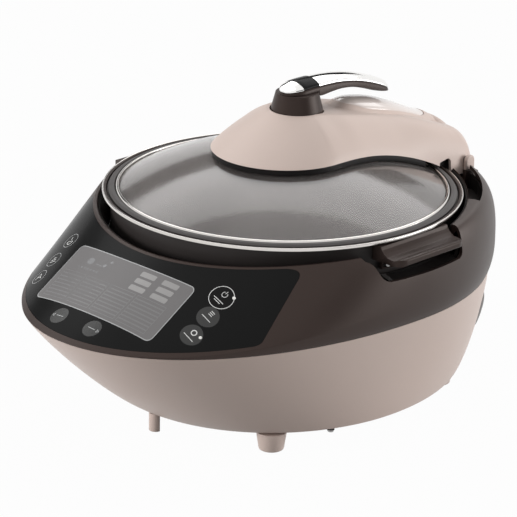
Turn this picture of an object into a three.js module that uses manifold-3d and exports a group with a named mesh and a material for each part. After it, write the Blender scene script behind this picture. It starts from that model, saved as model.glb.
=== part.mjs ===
// Countertop multicooker with a hinged glass lid, millimetres, +Z up.
// The pot axis is the build axis, the control panel faces -Y, the hinge is at +Y.
import * as THREE from 'three';
import { mergeVertices } from 'three/addons/utils/BufferGeometryUtils.js';
import Module from 'manifold-3d';

const wasm = await Module();
wasm.setup();

// General clearances
const seatGap = 0.3;
const runningGap = 0.5;
const overrun = 2;

// Base sizes that the others follow: pot wall radius and body height at the sides of the opening
const potRadius = 146;
const openingHeightSide = 172;

// Body plan: half width, and distances from the pot axis to the front and rear
const openingMargin = 13;
const partingMargin = 6;
const noseReach = 93;
const partingRearMargin = 30;
const bellyMargin = 3;
const bellyRearMargin = 6.5;
const baseSideInset = 23;
const baseFrontInset = 97;
const baseRearInset = 20.5;
const openingRadius = potRadius + openingMargin;
const partingHalfWidth = openingRadius + partingMargin;
const partingFront = openingRadius + noseReach;
const partingRear = openingRadius + partingRearMargin;
const bellyHalfWidth = partingHalfWidth + bellyMargin;
const bellyRear = partingRear + bellyRearMargin;
const baseHalfWidth = partingHalfWidth - baseSideInset;
const baseFront = partingFront - baseFrontInset;
const baseRear = partingRear - baseRearInset;
const planShare = 2.04;

// Body heights
const footHeight = 19;
const upperShellHeight = 63;
const partingHeight = openingHeightSide - upperShellHeight;
const bellyRise = 22;
const openingFrontDrop = 10.5;
const openingRearRise = 11;
const openingHeightFront = openingHeightSide - openingFrontDrop;
const openingHeightRear = openingHeightSide + openingRearRise;

// Body profile exponents
const sideCurveShare = 2.32;
const rearCurveShare = 3.1;
const frontFlatShare = 5;
const bellyFadeShare = 1.3;
const openingFadeShare = 2.5;
const baseFrontCurveShare = 1.1;
const baseSideCurveShare = 1.02;
const baseRearCurveShare = 1.55;
const baseFadeShare = 1.5;
const bellyPlaceShare = 0.75;
const bellyTuckShare = 0.72;

// Shells
const shellWall = 3;
const lipWidth = 3;
const lipDepth = 8;
const baseFlangeWidth = 12;
const coverThickness = 2.4;

// Feet
const footRadius = 11.8;
const footTopRadius = 12.8;
const footSideInset = 50;
const footFrontInset = 53;
const footRearInset = 64.5;
const footSpreadX = baseHalfWidth - footSideInset;
const footFrontY = baseFront - footFrontInset;
const footRearY = baseRear - footRearInset;
const propRadius = 5.6;
const propInset = 9;
const propY = baseFront - propInset;
const propWall = 1.8;

// Pot
const potWall = 2;
const potFloorHeight = 63.3;
const potFloorInset = 51;
const potFloorRadius = potRadius - potFloorInset;
const potRimRise = 6.6;
const potRimHeight = openingHeightSide + potRimRise;
const potFlangeReach = 2.5;
const potFlangeRadius = potRadius + potFlangeReach;
const potCurveShares = [0.48, 0.73, 0.88, 0.97];
const potRiseShares = [0.05, 0.15, 0.32, 0.58];
const rimRingReach = 4.7;
const rimRingRadius = potRadius + rimRingReach;
const rimRingTube = 1.9;

// Pot handles and the recesses that they lie in
const gripOverhang = 26;
const gripReach = potRadius + gripOverhang;
const gripHalfLength = 40;
const gripCorner = 11;
const gripDrop = 15.1;
const gripHeight = potRimHeight - gripDrop;
const gripThickness = 6;
const gripLip = 3.4;
const gripWallThickness = 3.8;
const gripWallHalfLength = 34;
const gripBaseDrop = 9;
const gripScrewPlace = 29;
const notchDepth = 22;
const notchFloorHeight = openingHeightSide - notchDepth;
const notchHalfLength = 46;
const notchFlare = 14;
const recessWall = 2;

// Well ring and heat shield
const wellThroatGap = 2.5;
const wellThroatRadius = potRadius + wellThroatGap;
const wellWall = 2;
const wellThroatDrop = 20;
const wellThroatDepth = 12;
const wellThroatTop = openingHeightSide - wellThroatDrop;
const wellThroatBottom = wellThroatTop - wellThroatDepth;
const shieldWall = 1.2;
const shieldFloorDrop = 13.3;
const shieldFloorHeight = potFloorHeight - shieldFloorDrop;
const shieldFloorMargin = 17;
const shieldFloorRadius = potFloorRadius + shieldFloorMargin;
const shieldHoleRadius = 26;
const shieldCurveShares = [0.52, 0.8, 1];
const shieldRiseShares = [0.14, 0.42, 0.86];

// Heating plate, heater and thermostat sensor
const plateInset = 3;
const plateRadius = potFloorRadius - plateInset;
const plateThickness = 7;
const plateHoleRadius = 15;
const plateLegRadius = 5;
const plateLegInset = 34;
const heaterInset = 18;
const plateLegPlace = plateRadius - plateLegInset;
const heaterRadius = plateRadius - heaterInset;
const heaterTube = 3.6;
const sensorRadius = 13.5;
const sensorHeight = 9;
const sensorTravel = 3;
const sensorStemRadius = 4;
const sensorSpringLength = 5;
const springWire = 1.3;

// Glass lid
const lidRingRise = 3.4;
const lidRingHeight = potRimHeight + lidRingRise;
const glassCrown = 35.4;
const glassEdgeDrop = 1.7;
const glassThickness = 4;
const lidMargin = 6.6;
const glassRadius = potRadius - lidMargin;
const glassSphere = (glassRadius * glassRadius + glassCrown * glassCrown) / (2 * glassCrown);
const glassHole = 14;
const lidRimGrip = 1.2;
const lidRimWall = 1.4;
const lidRimReach = 2.4;
const gasketWidth = 5.6;
const gasketThickness = 2.3;

// Hub that joins the glass to the arm, and the lever shaft
const hubRadius = 20;
const hubStem = 13.5;
const hubHeight = 5.2;
const hubNutThickness = 6;
const spigotRadius = 4.4;
const spigotHeight = 6;
const shaftRadius = 5.2;
const shaftSocketDepth = 10;

// Hinge axis
const hingeMargin = 9;
const hingePlace = openingRadius + hingeMargin;
const hingeDrop = 1;
const hingeHeight = lidRingHeight - hingeDrop;

// Arm over the lid
const armRadius = 61.5;
const armHalfWidth = 59.5;
const armSpineInset = 4;
const armRearMargin = 23;
const armSpineEnd = hingePlace - armSpineInset;
const armRear = hingePlace + armRearMargin;
const armRearDrop = 12;
const armRearHeight = lidRingHeight - armRearDrop;
const armWall = 2.6;
const armTrimHeight = 6;
const armTrimInset = 0.9;
const armTrimThickness = 2.6;
const armTrimEndInset = 19.4;
const armTrimEnd = glassRadius - armTrimEndInset;
const armTrimLip = 4.5;
const armSeatRise = 64.5;
const armSeatHeight = lidRingHeight + armSeatRise;
const armSeatRadius = 24;
const armShoulderHalfWidth = 31.5;
const armRearCurveShare = 2.8;
const armFrontCurveShare = 1.12;
const armSideCurveShare = 1.45;
const armEndCurveShare = 2.3;
const armSquarePlace = 90;
const shoulderRearShare = 0.5;
const shoulderMostShare = 0.8;
const shoulderLeastShare = 0.4;

// Shoulder line of the arm: places as shares of the way to the hinge, heights over the lid ring
const armRidgeShares = [0.09, 0.226, 0.357, 0.512, 0.69, 0.81, 0.905, 1.036, 1.137];
const armRidgeRises = [64.5, 61, 56.6, 50.4, 43, 36.6, 30.6, 22.4, 15.6];

// Release button on the hump: places as shares of the way to the hinge, half widths and rises
const humpShares = [0.357, 0.393, 0.44, 0.512, 0.619, 0.774, 0.94, 1.048, 1.077];
const humpHalfWidths = [6, 13, 18, 22, 24, 22.5, 18, 15, 14];
const humpRises = [0, 5, 8.5, 10.5, 11, 9, 7, 6.3, 0];
const humpCurveShare = 0.7;
const buttonFrontShare = 0.393;
const buttonRearInset = 0.5;
const buttonInset = 2.6;
const buttonEnd = 14;
const buttonSkirt = 6;
const buttonTravel = 3;
const buttonStemRadius = 4;
const buttonStemShare = 0.643;

// Chassis beam inside the arm
const beamHalfWidth = 15;
const beamHeight = 9;
const beamStepInset = 41;
const beamStepPlace = hingePlace - beamStepInset;
const beamStepRise = 5;
const beamStepHeight = lidRingHeight + beamStepRise;

// Hinge
const pinRadius = 3;
const pinEngagement = 2.8;
const knuckleRadius = 10;
const knuckleHalfLength = 30;
const springSleeveLength = 11;
const bracketThickness = 4.6;
const bracketRadius = 6.5;
const bracketFoot = 8;
const pocketHalfWidth = 67;
const pocketDepth = 12;
const pocketHeight = openingHeightSide - pocketDepth;
const panDepth = 10;
const panWall = 2.4;
const panFrontInset = 11.5;
const panFront = hingePlace - panFrontInset;
const crescentInset = 2.6;
const crescentMargin = 7.5;
const crescentInner = openingRadius - crescentInset;
const crescentOuter = openingRadius + crescentMargin;
const crescentWidening = 18;
const crescentDepth = 9;
const crescentFloor = openingHeightSide - crescentDepth;
const crescentStartShare = 0.21;

// Turret and lever
const turretPlace = 15;
const turretRadius = 22;
const turretTopRadius = 18.2;
const turretDepth = 12.5;
const turretRise = 14.7;
const turretBottom = armSeatHeight - turretDepth;
const turretTop = armSeatHeight + turretRise;
const leverHalfWidth = 13;
const leverTipHalfWidth = 9;
const leverFront = -2.6;
const leverTip = 124.5;
const capEnd = 10.9;
const stripEnd = 29;
const inlayThickness = 1.6;
const inlayInset = 0.6;
const inlayGap = 0.6;

// Lever side view: places along the lever, edge and underside heights over the arm's seat
const leverPlaces = [-2.6, 4, 12, 20, 31, 44, 56, 70, 82, 94, 106, 116, 124.5];
const leverEdgeRises = [18.7, 19.5, 20, 20.3, 20.2, 19.7, 18.6, 16.4, 13.7, 10.1, 5.8, 1.5, -2.9];
const leverUnderRises = [13.5, 13.5, 13.5, 11.9, 9.1, 9.6, 9.8, 8.2, 5.4, 1.7, -2.5, -5.1, -5.9];
const leverCrown = 4.8;
const leverHollow = 1.6;
const stationGap = 2.5;
const leverEndHalf = 0.2;

// Control panel and display, in the panel's own slope
const panelThickness = 1.2;
const panelHalfAngle = 51.5;
const panelTopShare = 0.075;
const panelBottomShare = 0.63;
const panelSideBottomShare = 0.65;
const panelCornerShare = 0.14;
const windowHalfWidth = 68;
const windowMargin = 6.5;
const windowDepth = 52;
const windowTopPlace = openingRadius + windowMargin;
const windowBottomPlace = windowTopPlace + windowDepth;
const windowBow = 5.5;
const windowCorner = 5;
const ledPlacesX = [97.4, 96.7];
const ledMargins = [-6, 30];
const ledRadius = 1.6;
const ledLength = 6;

// Electronics
const boardThickness = 1.6;
const controlBoardLength = 150;
const controlBoardWidth = 58;
const lcdModuleLength = 126;
const lcdModuleWidth = 50;
const lcdModuleHeight = 6;
const displayDrop = 6.6;
const powerBoardLength = 120;
const powerBoardWidth = 74;
const powerBoardY = -84;
const boardBossHeight = 8;
const boardBossRadius = 3.6;
const transformerSize = 26;
const transformerHeight = 16;
const relayLength = 22;
const relayWidth = 14;
const relayHeight = 12;

// Power inlet and condensate cup
const inletWidth = 48;
const inletHeight = 28;
const inletDepth = 26;
const inletDrop = 47;
const inletFloor = partingHeight - inletDrop;
const inletCavityWidth = 25;
const inletCavityHeight = 17;
const inletCavityDepth = 17;
const inletBezel = 3;
const pinLength = 10;
const cupHalfWidth = 68;
const cupOverhang = 37.5;
const cupReach = baseRear + cupOverhang;
const cupFloor = 17;
const cupHeight = 38;
const cupTaper = 7;
const cupCornerShare = 0.36;
const cupLevelShares = [0, 0.16, 0.45, 0.75, 1];
const cupInsetShares = [1, 0.62, 0.22, 0, 0.12];
const cupWall = 2;
const cupRootDepth = 28.5;
const cupStart = baseRear - cupRootDepth;
const tongueHalfWidth = 20;
const tongueThickness = 3;
const tongueLength = 9;
const tongueHeight = 11;

// Screws
const screwRadius = 3.4;
const screwShankRadius = 1.5;
const screwHead = 2;
const screwLength = 8;
const screwTopShare = 0.7;
const screwRecessShare = 0.45;
const coverScrewShares = [0.16, 0.84, 1.14, 1.86];

// Vents in the bottom cover
const ventCount = 7;
const ventPitch = 10;
const ventWidth = 4;
const ventLength = 22;
const ventInset = 33;
const ventY = baseFront - ventInset;

// Facet counts
const bodySegments = 36;
const potSegments = 34;
const lidSegments = 36;

// Colours
const finish = (name, color, roughness, metalness) => {
  const material = new THREE.MeshStandardMaterial({ color, roughness, metalness });
  material.name = name;
  return material;
};
const beige = finish('beige_shell', 0xc8b6ad, 0.42, 0);
const brown = finish('brown_gloss', 0x2c2120, 0.16, 0);
const handleBrown = finish('handle_brown', 0x40332f, 0.38, 0);
const panelBlack = finish('panel_black', 0x1e1e1f, 0.1, 0);
const windowGrey = finish('display_grey', 0x6f7071, 0.12, 0);
const blackPlastic = finish('black_plastic', 0x151413, 0.5, 0);
const rubber = finish('rubber_black', 0x1b1a1a, 0.7, 0);
const silicone = finish('silicone_grey', 0x3d3a39, 0.6, 0);
const steel = finish('steel_bright', 0xd6d4d1, 0.16, 1);
const zincSteel = finish('steel_plain', 0x8f8e8d, 0.35, 1);
const chrome = finish('chrome', 0xeeeeec, 0.07, 1);
const aluminium = finish('aluminium_cast', 0xa9a9a8, 0.4, 1);
const coating = finish('pot_coating', 0x232120, 0.45, 0.2);
const glass = new THREE.MeshStandardMaterial({ color: 0x8b8683, roughness: 0.04, metalness: 0 });
glass.name = 'tinted_glass';
glass.transparent = true;
glass.opacity = 0.35;
const boardGreen = finish('board_green', 0x1d4a30, 0.5, 0);
const lampWhite = finish('lamp_white', 0xf4f2ee, 0.3, 0);
const cupGrey = finish('cup_grey', 0x46413f, 0.4, 0);

// Small maths
const power = (value, exponent) => Math.sign(value) * Math.abs(value) ** exponent;
const mix = (a, b, share) => a + (b - a) * share;
const clamp01 = (value) => Math.min(1, Math.max(0, value));
const smooth = (value) => {
  const c = clamp01(value);
  return c * c * (3 - 2 * c);
};
const turn = 2 * Math.PI;
const quarter = Math.PI / 2;

// Smooth value from a table, by Catmull-Rom between unevenly spaced places
function along(places, values, at) {
  const last = places.length - 1;
  if (at <= places[0]) return values[0];
  if (at >= places[last]) return values[last];
  let i = 0;
  while (at > places[i + 1]) i += 1;
  const slope = (k) => {
    const a = Math.max(0, k - 1);
    const b = Math.min(last, k + 1);
    return (values[b] - values[a]) / (places[b] - places[a]);
  };
  const span = places[i + 1] - places[i];
  const s = (at - places[i]) / span;
  const s2 = s * s;
  const s3 = s2 * s;
  return (2 * s3 - 3 * s2 + 1) * values[i] + (s3 - 2 * s2 + s) * span * slope(i)
    + (3 * s2 - 2 * s3) * values[i + 1] + (s3 - s2) * span * slope(i + 1);
}

// Geometry from a list of triangles of points, shared vertices merged, faces pointing out
function closedGeometry(triangles) {
  const positions = [];
  for (const triangle of triangles) {
    for (const p of triangle) positions.push(p[0], p[1], p[2]);
  }
  const soup = new THREE.BufferGeometry();
  soup.setAttribute('position', new THREE.Float32BufferAttribute(positions, 3));
  return tidy(soup);
}

function tidy(geometry) {
  const bare = geometry.clone();
  for (const name of Object.keys(bare.attributes)) {
    if (name !== 'position') bare.deleteAttribute(name);
  }
  bare.clearGroups();
  const merged = mergeVertices(bare, 1e-4);
  const kept = [];
  const index = merged.index.array;
  for (let i = 0; i < index.length; i += 3) {
    const [a, b, c] = [index[i], index[i + 1], index[i + 2]];
    if (a !== b && b !== c && c !== a) kept.push(a, b, c);
  }
  const at = merged.attributes.position;
  const [p, q, r] = [new THREE.Vector3(), new THREE.Vector3(), new THREE.Vector3()];
  let volume = 0;
  for (let i = 0; i < kept.length; i += 3) {
    p.fromBufferAttribute(at, kept[i]);
    q.fromBufferAttribute(at, kept[i + 1]);
    r.fromBufferAttribute(at, kept[i + 2]);
    volume += p.dot(q.cross(r));
  }
  if (volume < 0) {
    for (let i = 0; i < kept.length; i += 3) [kept[i], kept[i + 1]] = [kept[i + 1], kept[i]];
  }
  merged.setIndex(kept);
  return merged;
}

function toSolid(geometry) {
  const closed = tidy(geometry);
  return new wasm.Manifold(new wasm.Mesh({
    numProp: 3,
    vertProperties: Float32Array.from(closed.attributes.position.array),
    triVerts: Uint32Array.from(closed.index.array),
  }));
}

function toGeometry(solid) {
  const mesh = solid.getMesh();
  const geometry = new THREE.BufferGeometry();
  geometry.setAttribute('position', new THREE.BufferAttribute(Float32Array.from(mesh.vertProperties), 3));
  geometry.setIndex(new THREE.BufferAttribute(Uint32Array.from(mesh.triVerts), 1));
  return geometry;
}

const cut = (geometry, ...tools) =>
  toGeometry(tools.reduce((solid, tool) => solid.subtract(toSolid(tool)), toSolid(geometry)));
const join = (geometry, ...others) =>
  toGeometry(others.reduce((solid, other) => solid.add(toSolid(other)), toSolid(geometry)));
const common = (geometry, other) => toGeometry(toSolid(geometry).intersect(toSolid(other)));

// Turned piece: closed profile of [radius, height] points
function turned(profile, segments) {
  const points = profile.map(([radius, height]) => new THREE.Vector2(radius, height));
  points.push(points[0].clone());
  return tidy(new THREE.LatheGeometry(points, segments).rotateX(quarter));
}

const disc = (radius, bottom, top, segments = 24, topRadius = radius) =>
  new THREE.CylinderGeometry(topRadius, radius, top - bottom, segments)
    .rotateX(quarter).translate(0, 0, (bottom + top) / 2);
const tube = (inner, outer, bottom, top, segments = 24) =>
  turned([[inner, bottom], [outer, bottom], [outer, top], [inner, top]], segments);
const block = (x0, x1, y0, y1, z0, z1) =>
  new THREE.BoxGeometry(Math.abs(x1 - x0), y1 - y0, z1 - z0)
    .translate((x0 + x1) / 2, (y0 + y1) / 2, (z0 + z1) / 2);
const rodX = (radius, x0, x1, y, z, segments = 20) =>
  new THREE.CylinderGeometry(radius, radius, x1 - x0, segments)
    .rotateZ(quarter).translate((x0 + x1) / 2, y, z);

// Outline in a plane given by [u, v] points, thick in Z or in X
function plate(outline, thickness) {
  const shape = new THREE.Shape(outline.map(([u, v]) => new THREE.Vector2(u, v)));
  return new THREE.ExtrudeGeometry(shape, { depth: thickness, bevelEnabled: false, curveSegments: 6 });
}
const sidePlate = (outline, x0, x1) =>
  plate(outline, x1 - x0).applyMatrix4(new THREE.Matrix4().makeBasis(
    new THREE.Vector3(0, 1, 0), new THREE.Vector3(0, 0, 1), new THREE.Vector3(1, 0, 0),
  )).translate(x0, 0, 0);
const arcPoints = (cx, cy, radius, from, to, steps) =>
  Array.from({ length: steps + 1 }, (_, i) => {
    const a = mix(from, to, i / steps);
    return [cx + radius * Math.cos(a), cy + radius * Math.sin(a)];
  });
function roundedRectangle(x0, x1, y0, y1, radius, steps = 4) {
  return [
    ...arcPoints(x1 - radius, y1 - radius, radius, 0, quarter, steps),
    ...arcPoints(x0 + radius, y1 - radius, radius, quarter, 2 * quarter, steps),
    ...arcPoints(x0 + radius, y0 + radius, radius, 2 * quarter, 3 * quarter, steps),
    ...arcPoints(x1 - radius, y0 + radius, radius, 3 * quarter, 4 * quarter, steps),
  ];
}

// Solid between rings of points: rings[k][i], closed round i, and closed along k if looped
function ringSolid(rings, looped) {
  const triangles = [];
  const count = rings[0].length;
  const last = looped ? rings.length : rings.length - 1;
  for (let k = 0; k < last; k += 1) {
    const low = rings[k];
    const high = rings[(k + 1) % rings.length];
    for (let i = 0; i < count; i += 1) {
      const j = (i + 1) % count;
      triangles.push([low[i], low[j], high[j]], [low[i], high[j], high[i]]);
    }
  }
  return closedGeometry(triangles);
}

// Body plan curve: a superellipse with its own front and rear
function planPoint(angle, halfWidth, front, rear) {
  const s = Math.sin(angle);
  return [
    halfWidth * power(Math.cos(angle), 2 / planShare),
    (s < 0 ? front : rear) * power(s, 2 / planShare),
  ];
}

// Upper body surface: share 0 at the pot opening, 1 at the parting line
function openingHeight(angle) {
  const s = Math.sin(angle);
  if (s < 0) return mix(openingHeightSide, openingHeightFront, (-s) ** openingFadeShare);
  return mix(openingHeightSide, openingHeightRear, s);
}
function upperPoint(angle, share) {
  const s = Math.sin(angle);
  const frontness = Math.max(0, -s);
  const rearness = Math.max(0, s);
  const away = 1 - frontness;
  const top = openingHeight(angle);
  const edge = [openingRadius * Math.cos(angle), openingRadius * s];
  const belly = planPoint(
    angle, mix(partingHalfWidth, bellyHalfWidth, away), partingFront, bellyRear,
  );
  const parting = planPoint(angle, partingHalfWidth, partingFront, partingRear);
  const bellyHeight = partingHeight + bellyRise * away ** bellyFadeShare;
  const curve = s > 0 ? mix(sideCurveShare, rearCurveShare, rearness)
    : mix(1, sideCurveShare, away ** frontFlatShare);
  if (share <= bellyPlaceShare) {
    const phase = (share / bellyPlaceShare) * quarter;
    const out = Math.sin(phase) ** (2 / curve);
    const up = Math.cos(phase) ** (2 / curve);
    return [mix(edge[0], belly[0], out), mix(edge[1], belly[1], out), mix(bellyHeight, top, up)];
  }
  const down = (share - bellyPlaceShare) / (1 - bellyPlaceShare);
  const inward = (share) => 1 - Math.sqrt(1 - bellyTuckShare * share * share);
  const tuck = inward(down) / inward(1);
  return [
    mix(belly[0], parting[0], tuck), mix(belly[1], parting[1], tuck),
    mix(bellyHeight, partingHeight, down),
  ];
}

// Lower body surface: share 0 at the parting line, 1 at the base
function lowerPoint(angle, share) {
  const s = Math.sin(angle);
  const parting = planPoint(angle, partingHalfWidth, partingFront, partingRear);
  const base = planPoint(angle, baseHalfWidth, baseFront, baseRear);
  const curve = mix(
    baseSideCurveShare, s < 0 ? baseFrontCurveShare : baseRearCurveShare, Math.abs(s) ** baseFadeShare,
  );
  const phase = share * quarter;
  const out = Math.cos(phase) ** (2 / curve);
  const down = Math.sin(phase) ** (2 / curve);
  return [
    mix(base[0], parting[0], out), mix(base[1], parting[1], out),
    mix(partingHeight, footHeight, down),
  ];
}

// Point moved off a surface along its normal, outwards for a positive distance
function offsetPoint(surface, angle, share, distance) {
  const step = 1e-3;
  const from = Math.max(0, share - step);
  const to = Math.min(1, share + step);
  const p = surface(angle, share);
  const a = surface(angle - step, share);
  const b = surface(angle + step, share);
  const c = surface(angle, from);
  const d = surface(angle, to);
  const u = new THREE.Vector3(b[0] - a[0], b[1] - a[1], b[2] - a[2]);
  const v = new THREE.Vector3(d[0] - c[0], d[1] - c[1], d[2] - c[2]);
  const n = v.cross(u).normalize().negate();
  if (n.x * Math.cos(angle) + n.y * Math.sin(angle) < 0) n.negate();
  return [p[0] + n.x * distance, p[1] + n.y * distance, p[2] + n.z * distance];
}

const bodyAngles = Array.from({ length: bodySegments }, (_, i) => -quarter + (turn * i) / bodySegments);
const ringAt = (surface, share, distance) =>
  bodyAngles.map((angle) => offsetPoint(surface, angle, share, distance));

// Whole volume under the upper surface, shrunk by an inset, used to trim inner pieces
const innerShares = [1, 0.75, 0.4, 0.16];
function bodyVolume(inset) {
  const rings = [];
  const floor = partingHeight - shellWall * 10;
  rings.push(bodyAngles.map(() => [0, 0, floor]));
  rings.push(bodyAngles.map((angle) => {
    const p = offsetPoint(upperPoint, angle, 1, -inset);
    return [p[0], p[1], floor];
  }));
  for (const share of innerShares) rings.push(ringAt(upperPoint, share, -inset));
  rings.push(bodyAngles.map(() => [0, 0, openingHeightRear]));
  return ringSolid(rings, false);
}

// Everything that is built is collected here
const multicooker = new THREE.Group();
const assembly = new THREE.Group();
multicooker.add(assembly);
assembly.position.y = (partingFront - cupReach) / 2;
function add(name, geometry, material, place = [0, 0, 0]) {
  const mesh = new THREE.Mesh(geometry, material);
  mesh.name = name;
  mesh.position.set(...place);
  assembly.add(mesh);
}

// Shapes shared by several pieces
const partingGap = seatGap / 2;
const coverTop = footHeight - seatGap;
const coverBottom = coverTop - coverThickness;
const wellOuter = openingRadius - lipWidth - seatGap;
const shieldTop = wellThroatBottom - seatGap;
const plateTop = potFloorHeight - seatGap;
const plateBottom = plateTop - plateThickness;
const glassTop = lidRingHeight - glassEdgeDrop + glassCrown;
const domeHeight = (radius, sphere = glassSphere) =>
  glassTop - glassSphere + Math.sqrt(Math.max(0, sphere * sphere - radius * radius));

function notchOutline(grow) {
  const floor = notchFloorHeight - grow;
  const front = -notchHalfLength - grow;
  const rear = notchHalfLength + grow;
  const top = openingHeightRear + overrun;
  return [
    [front + gripCorner, floor],
    [rear - gripCorner / 2, floor],
    [rear, floor + gripCorner / 2],
    [rear, top],
    [front - notchFlare, top],
    [front - notchFlare, openingHeightSide - lipWidth - grow],
    [front - notchFlare / 2, openingHeightSide - lipWidth * 2 - grow],
    [front, floor + gripCorner],
  ];
}
function notchPrism(side, grow) {
  const inner = wellThroatRadius - gripCorner;
  const outer = bellyHalfWidth + overrun;
  const outline = notchOutline(grow);
  return side > 0 ? sidePlate(outline, inner, outer) : sidePlate(outline, -outer, -inner);
}
const rearPocket = () =>
  block(-pocketHalfWidth, pocketHalfWidth, hingePlace - knuckleRadius * 3, bellyRear + overrun,
    pocketHeight, openingHeightRear + overrun);

// Band round the rear of the opening that widens towards the hinge
const crescentStart = crescentStartShare * Math.PI;
const crescentEdge = (angle) =>
  crescentOuter + crescentWidening * (1 - Math.abs(quarter - angle) / (quarter - crescentStart));
function crescent(inner, outerAt, bottom, top) {
  const steps = 14;
  const edge = (radiusAt) => Array.from({ length: steps + 1 }, (_, i) => {
    const angle = mix(crescentStart, Math.PI - crescentStart, i / steps);
    return [radiusAt(angle) * Math.cos(angle), radiusAt(angle) * Math.sin(angle)];
  });
  const outline = [...edge(outerAt), ...edge(inner).reverse()];
  return plate(outline, top - bottom).translate(0, 0, bottom);
}

const lowerShares = [0, 0.33, 0.67, 1];
const lowerInnerShares = [0.88, 0.6, 0.3, 0];

// Lower shell: a tapering tub with an inward flange that carries the bottom cover
function lowerShell() {
  const lowered = (p) => [p[0], p[1], Math.min(p[2], partingHeight - partingGap)];
  const raised = (p) => [p[0], p[1], Math.max(p[2], footHeight + shellWall)];
  const flange = (height) => bodyAngles.map((angle) => {
    const p = planPoint(angle, baseHalfWidth - baseFlangeWidth, baseFront - baseFlangeWidth,
      baseRear - baseFlangeWidth);
    return [p[0], p[1], height];
  });
  const rings = [
    ...lowerShares.map((share) => ringAt(lowerPoint, share, 0).map(lowered)),
    flange(footHeight),
    flange(footHeight + shellWall),
    ...lowerInnerShares.map((share) =>
      ringAt(lowerPoint, share, -shellWall).map(raised).map(lowered)),
  ];
  const slotClear = runningGap;
  const slot = block(
    -tongueHalfWidth - slotClear, tongueHalfWidth + slotClear, baseRear - inletDepth,
    cupReach, cupFloor + tongueHeight - slotClear, cupFloor + tongueHeight + tongueThickness + slotClear,
  );
  const inletHole = block(
    -inletWidth / 2 - seatGap, inletWidth / 2 + seatGap, baseRear - inletDepth, cupReach,
    inletFloor - seatGap, inletFloor + inletHeight + seatGap,
  );
  const screwHoles = coverScrews().map(([x, y]) =>
    disc(screwShankRadius + seatGap * 2, footHeight - overrun, footHeight + shellWall + overrun, 8)
      .translate(x, y, 0));
  return cut(ringSolid(rings, true), slot, inletHole, ...screwHoles);
}

// Upper shell: one moulding from the parting line over the panel slope to the pot opening
function upperShell() {
  const outerShares = [...skinShares, 1];
  const above = (p) => [p[0], p[1], Math.max(p[2], partingHeight + partingGap)];
  const lip = (inset, drop) => bodyAngles.map((angle) => [
    (openingRadius - inset) * Math.cos(angle), (openingRadius - inset) * Math.sin(angle),
    openingHeight(angle) - drop,
  ]);
  const rings = [
    ...outerShares.map((share) => bodyAngles.map((angle) => upperPoint(angle, share)).map(above)),
    ...innerShares.map((share) => ringAt(upperPoint, share, -shellWall).map(above)),
    lip(0, lipDepth),
    lip(lipWidth, lipDepth),
    lip(lipWidth, lipWidth / 4),
    lip(lipWidth / 2, 0),
  ];
  return cut(
    ringSolid(rings, true), notchPrism(1, 0), notchPrism(-1, 0), rearPocket(),
    crescent(() => crescentInner, crescentEdge, crescentFloor, openingHeightRear + overrun),
    skinOver(panelOutline(seatGap * 2), -panelThickness - seatGap, overrun),
    skinOver(windowOutline(-windowCorner / 2), -shellWall - overrun, overrun),
    ...ledPlaces().map((place) => ledBody(place, seatGap, overrun)),
  );
}

// The panel is laid out in plan and follows the upper surface: height over each plan point
const frontSlope = (openingHeightFront - partingHeight) / (partingFront - openingRadius);
const slopeAngle = Math.atan(frontSlope);
function shareAtPlan(x, y) {
  let low = 0;
  let high = bellyPlaceShare;
  let angle = Math.atan2(y, x);
  for (let round = 0; round < 40; round += 1) {
    const share = (low + high) / 2;
    for (let inner = 0; inner < 6; inner += 1) {
      const p = upperPoint(angle, share);
      angle += Math.atan2(y, x) - Math.atan2(p[1], p[0]);
    }
    const p = upperPoint(angle, share);
    if (Math.hypot(p[0], p[1]) < Math.hypot(x, y)) low = share;
    else high = share;
  }
  return [angle, (low + high) / 2];
}
function surfacePlan(x, y, distance) {
  const [angle, share] = shareAtPlan(x, y);
  return offsetPoint(upperPoint, angle, share, distance);
}

// Skin of the upper surface between two offsets, and what of it stands over a plan outline
const skinShares = [0, 0.12, 0.26, 0.42, 0.6, 0.75];
const skin = (low, high) => ringSolid([
  ...skinShares.map((share) => ringAt(upperPoint, share, low)),
  ...skinShares.slice().reverse().map((share) => ringAt(upperPoint, share, high)),
], true);
function skinOver(outline, low, high) {
  const prism = plate(outline, openingHeightRear + overrun).translate(0, 0, footHeight);
  return common(skin(low, high), prism);
}
function panelOutline(grow) {
  const slope = partingFront - openingRadius;
  const half = THREE.MathUtils.degToRad(panelHalfAngle) + grow / partingFront;
  const top = panelTopShare - grow / slope / 2;
  const corner = panelCornerShare;
  const bottomAt = (place) => mix(panelBottomShare, panelSideBottomShare, place * place) + grow / slope;
  const right = [];
  const steps = 6;
  for (let i = 0; i <= steps; i += 1) right.push([mix(0, 1 - corner, i / steps), top]);
  for (const [u, v] of arcPoints(0, 0, 1, -quarter, 0, 3).slice(1)) {
    right.push([1 - corner + corner * u, top + corner * (1 + v)]);
  }
  right.push([1, mix(top + corner, panelSideBottomShare, 0.5)]);
  for (let i = 0; i <= steps; i += 1) {
    const place = mix(1, 0, i / steps);
    right.push([place, bottomAt(place)]);
  }
  const left = right.slice(1, -1).reverse().map(([place, share]) => [-place, share]);
  return [...right, ...left].map(([place, share]) => {
    const p = upperPoint(-quarter + place * half, share);
    return [p[0], p[1]];
  });
}
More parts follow.
